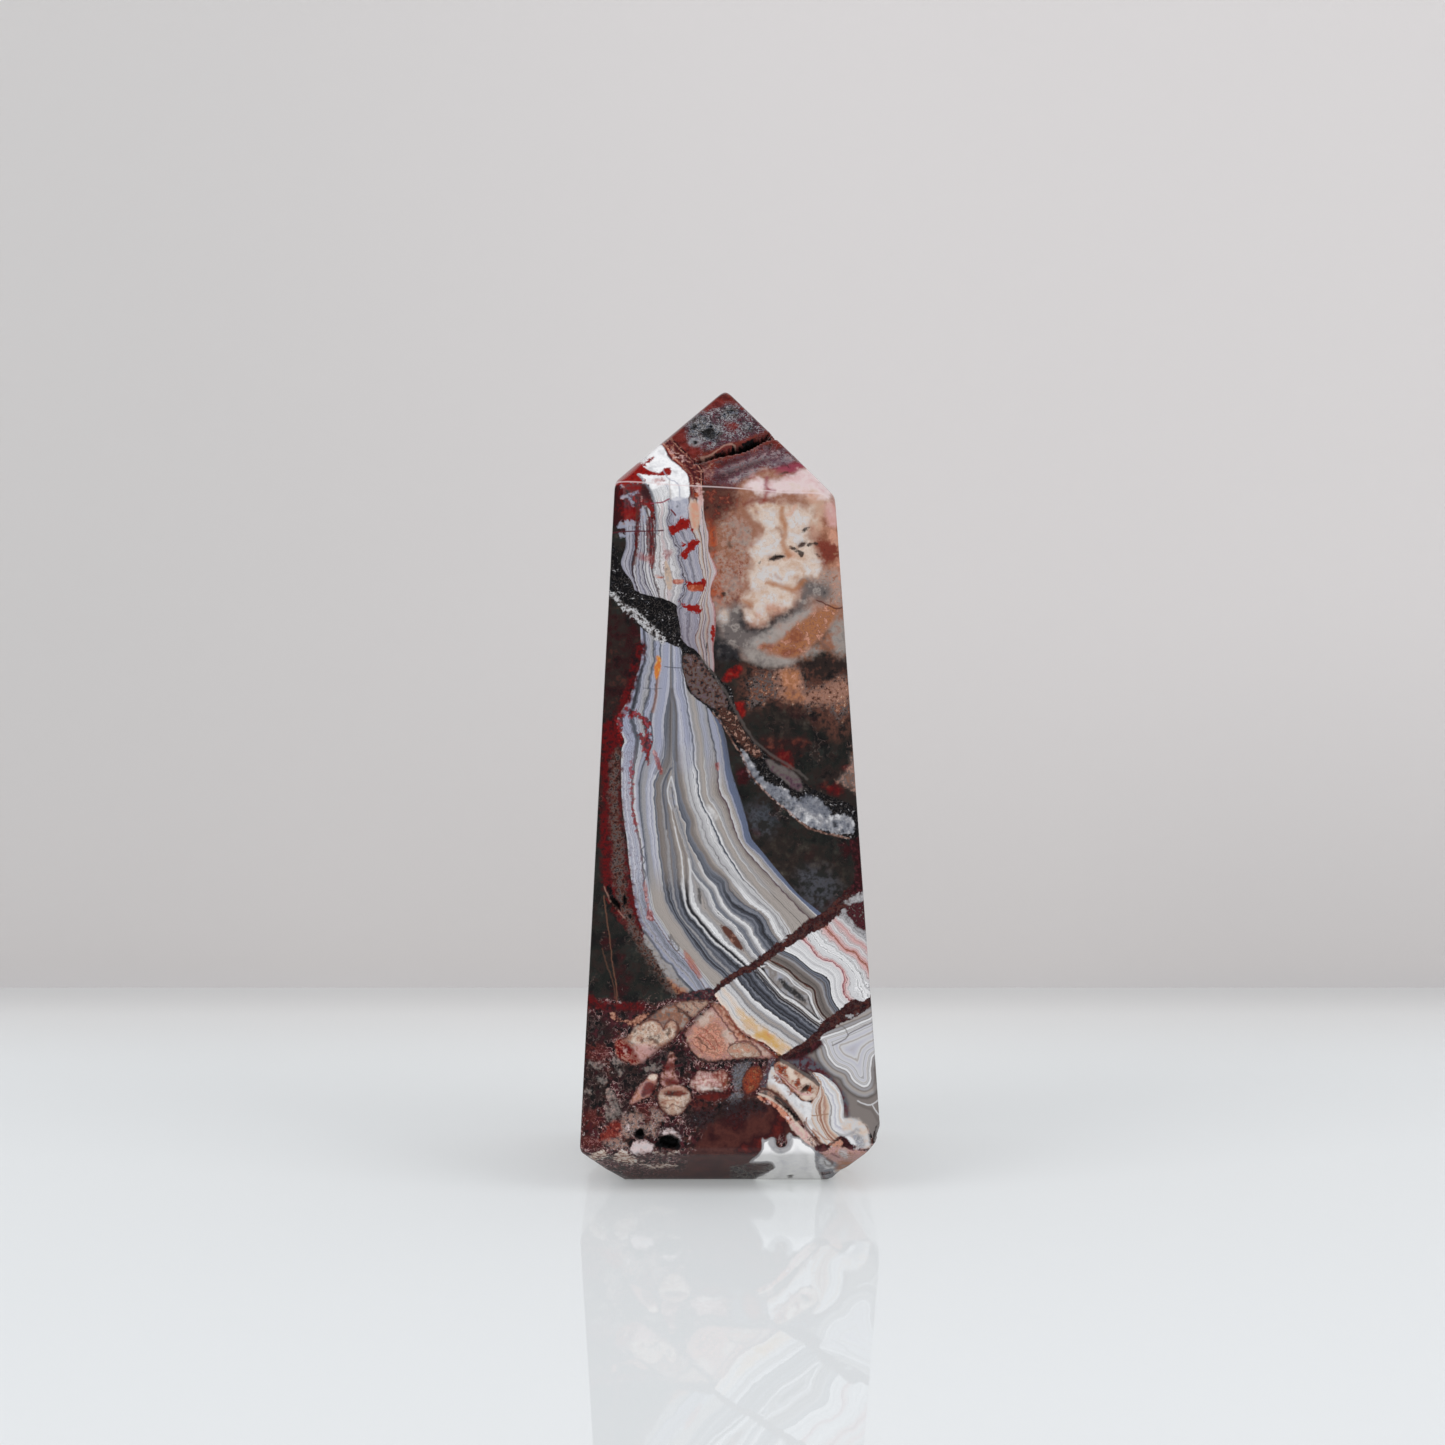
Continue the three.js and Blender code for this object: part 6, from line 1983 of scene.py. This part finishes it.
patch("red roof", mottle(0.42, "soot, maroon, maroon, wine, bark", 0.9),
      "814 1147, 822 1144, 829 1144, 835 1139, 843 1135.5, 849 1141, 856 1147, 870 1149, 868 1151, "
      "854 1150, 846 1148, 841 1147, 834 1144, 829 1149, 820 1152", edge=0.12, wobble=0.15, size=0.42)
patch("roof flesh", mottle(0.42, "maroon, dust, flesh, brick", 0.85),
      "831 1144, 839 1139.5, 843 1142, 840 1147, 833 1147", edge=0.2, wobble=0.25, size=0.42)
hairline("wedge line one", "826 1158, 831 1161, 833 1164", 0.3, "cocoa", 0.7, 0.12, 0.12)
hairline("wedge line two", "831 1153, 836 1156, 840 1158", 0.16, "wine", 0.7, 0.1, 0.12)
tell()

# %% [markdown]
# ## Polish
#
# Polished agate is smooth glass-like quartz: a sharp clear reflection of about four per cent, and no metal.
# What keeps it from looking like plastic is small. The polish varies a little from place to place, pits stay
# rough, and the surface rolls very slightly.

# %% Finish of the surface
IOR = 1.54
POLISHED = 0.07
ROUGH = 0.55
FULL_PIT = 0.5  # millimetres of depth at which a pit has no polish left
close_layer()
material = bpy.data.materials.new("polished_agate")
material.use_nodes = True
material.node_tree.nodes.clear()
tree = material.node_tree
base = "soot"
for layer in LAYERS:
    base = put("Group", {"node_tree": layer}, _0=base).outputs[0]
open_tree(material.node_tree)
pit = field("carved", np.clip(sink / FULL_PIT, 0, 1))
# The colour darkens towards cocoa inside the pits and the crack, the deeper the darker.
darker_in_pits = put("Mix", {"data_type": "RGBA", "blend_type": "MULTIPLY"}, _0=1.0, _6=base, _7="cocoa").outputs[2]
base = over(base, darker_in_pits, calc("MULTIPLY", rise(pit, 0.3, 1.0), 0.85))
roughness = calc("ADD", calc("MULTIPLY", grain(0.8), 0.05), POLISHED)
roughness = calc("ADD", roughness, calc("MULTIPLY", rise(pit, 0.2, 0.9), ROUGH - POLISHED))
height = calc("ADD", calc("MULTIPLY", grain(2.5), 0.02), calc("MULTIPLY", grain(0.25), pit))
bump = put("Bump", Height=height, Strength=0.25, Distance=0.3 * MM)
shader = put("BsdfPrincipled", Base_Color=base, Roughness=roughness, IOR=IOR, Normal=bump.outputs[0])
put("OutputMaterial", Surface=shader.outputs[0])
stone.data.materials.append(material)
store_fields()
print("material nodes:", len(tree.nodes))

# %% [markdown]
# ## Table, wall and light
#
# The stone stands on a pale glossy table before a plain wall. The wall only has a front, so a view from
# behind looks through it. Two large soft lights stand left and right of the camera, and a faint one hangs
# behind the stone. The flat front of the stone mirrors the camera's own direction, and nothing bright is
# there, which keeps the blacks black.

# %% Stage
TABLE_HALF = 2.5
WALL_AT = 0.11
WALL_HALF = 0.16
WALL_HEIGHT = 0.3


def plane(name, corners):
    """A flat four-cornered sheet"""
    mesh = bpy.data.meshes.new(name)
    mesh.from_pydata(corners, [], [(0, 1, 2, 3)])
    sheet = bpy.data.objects.new(name, mesh)
    bpy.context.collection.objects.link(sheet)
    return sheet


LEFT_AND_RIGHT = np.array([-1, 1, 1, -1])
FRONT_AND_BACK = np.array([-1, -1, 1, 1])
table_corners = np.stack(
    [LEFT_AND_RIGHT * TABLE_HALF, FRONT_AND_BACK * TABLE_HALF, LEFT_AND_RIGHT * 0], axis=1
)
wall_corners = np.stack(
    [LEFT_AND_RIGHT * WALL_HALF, np.full(4, WALL_AT), (FRONT_AND_BACK + 1) / 2 * WALL_HEIGHT], axis=1
)
table = plane("table", table_corners.tolist())
wall = plane("wall", wall_corners.tolist())
wall.visible_shadow = False


def stage_material(name):
    """An empty material, and its node tree made the current one"""
    global tree
    made = bpy.data.materials.new(name)
    made.use_nodes = True
    tree = made.node_tree
    tree.nodes.clear()
    return made


TABLE_COLOUR = (0.905, 0.925, 0.92, 1)
TABLE_FAR_SHADE = (0.8, 0.79, 0.775, 1)
TABLE_GLOSS = 0.17
TABLE_EDGE_SHADE = (0.69, 0.685, 0.675, 1)
SHADED = 0.88  # painted shade: how much darker the stone's mirror sees the table, as if its front lay in a dark room
SHADED_NEAR = 0.45  # and how much darker close to the stone
NEAR = 0.035  # how close that is, in metres, and twice as far it has its full shade
GLOW = 0.35  # the part of the table's light that is its own emission: a painted glow that softens the stone's shadow and lights its foot from below
GLOW_LIGHT = 0.84
table.data.materials.append(stage_material("pale table"))
table_place = put("TexCoord").outputs["Object"]
depth = put("SeparateXYZ", _0=table_place).outputs[1]
# Painted shade: the table darkens towards the wall, and more in a narrow band right at its foot.
table_colour = over(TABLE_COLOUR, TABLE_FAR_SHADE, rise(depth, WALL_AT - 0.06, WALL_AT))
table_colour = over(table_colour, TABLE_EDGE_SHADE, rise(depth, WALL_AT - 0.022, WALL_AT))
glow = put("Emission", Color=table_colour, Strength=GLOW_LIGHT)
matt = put("MixShader", Fac=GLOW, _1=put("BsdfDiffuse", Color=table_colour).outputs[0], _2=glow.outputs[0])
gloss = put("BsdfGlossy", Color=(0.9, 0.92, 0.94, 1), Roughness=0.014)
lit = put("MixShader", Fac=TABLE_GLOSS, _1=matt.outputs[0], _2=gloss.outputs[0])
# Painted shade in reflections: a glossy ray that meets the table sees it mixed towards a dark sheet, less
# near the stone.
dark = put("BsdfDiffuse", Color=(0.02, 0.02, 0.02, 1))
away = put("VectorMath", {"operation": "LENGTH"}, _0=table_place).outputs["Value"]
shade = calc("MULTIPLY_ADD", rise(away, NEAR, 2 * NEAR), SHADED - SHADED_NEAR, SHADED_NEAR)
mirrored = calc("MULTIPLY", put("LightPath").outputs["Is Glossy Ray"], shade)
put("OutputMaterial",
    Surface=put("MixShader", Fac=mirrored, _1=lit.outputs[0], _2=dark.outputs[0]).outputs[0])

WALL_COLOUR = (0.705, 0.67, 0.65, 1)
WALL_LEFT_SHADE = (0.62, 0.595, 0.575, 1)
WALL_LOW_SHADE = (0.64, 0.61, 0.59, 1)
WALL_FOOT_SHADE = (0.645, 0.62, 0.605, 1)
wall.data.materials.append(stage_material("pale wall"))
place = put("SeparateXYZ", _0=put("TexCoord").outputs["Object"]).outputs
# Painted shade: the wall darkens to the left and towards the bottom, and a last band at its foot takes a tone
# that meets the table without a line.
wall_colour = over(WALL_COLOUR, WALL_LEFT_SHADE, rise(place[0], 0.03, -0.11))
wall_colour = over(wall_colour, WALL_LOW_SHADE, calc("MULTIPLY", rise(place[2], 0.06, 0.004), 0.8))
wall_colour = over(wall_colour, WALL_FOOT_SHADE, rise(place[2], 0.004, 0.0))
matt = put("BsdfDiffuse", Color=wall_colour)
clear = put("BsdfTransparent")
backside = put("NewGeometry").outputs["Backfacing"]
put("OutputMaterial",
    Surface=put("MixShader", Fac=backside, _1=matt.outputs[0], _2=clear.outputs[0]).outputs[0])
print("stage pieces:", table.name, "and", wall.name)

# %% Light
def softbox(name, at, aim, size, power):
    """
    A square area light that looks at a point. The polish doesn't mirror it: in views from behind, its mirror
    image would lie on the table as a white square.
    """
    light = bpy.data.lights.new(name, "AREA")
    light.shape = "SQUARE"
    light.size = size
    light.energy = power
    lamp = bpy.data.objects.new(name, light)
    lamp.location = at
    lamp.visible_glossy = False
    lamp.rotation_euler = (Vector(aim) - Vector(at)).to_track_quat("-Z", "Y").to_euler()
    bpy.context.collection.objects.link(lamp)


AIM = (0, 0, 0.05)
softbox("left light", (-0.55, -0.45, 0.45), AIM, 0.5, 2.0)
softbox("right light", (0.6, -0.4, 0.4), AIM, 0.5, 1.8)
softbox("back light", (0.0, 0.9, 0.8), AIM, 0.6, 0.2)
world = bpy.data.worlds.new("room")
bpy.context.scene.world = world
world.use_nodes = True
tree = world.node_tree
tree.nodes.clear()
seen = put("Background", Color=(0.6, 0.59, 0.6, 1), Strength=1.0)
lighting = put("Background", Color=(0.9, 0.93, 1.0, 1), Strength=0.76)
mirrored = put("Background", Color=(0.9, 0.93, 1.0, 1), Strength=0.06)
rays = put("LightPath").outputs
room = put("MixShader", Fac=rays["Is Glossy Ray"], _1=lighting.outputs[0], _2=mirrored.outputs[0])
shown = put("MixShader", Fac=rays["Is Camera Ray"], _1=room.outputs[0], _2=seen.outputs[0])
put("OutputWorld", Surface=shown.outputs[0])
bpy.context.scene.view_settings.view_transform = "Standard"
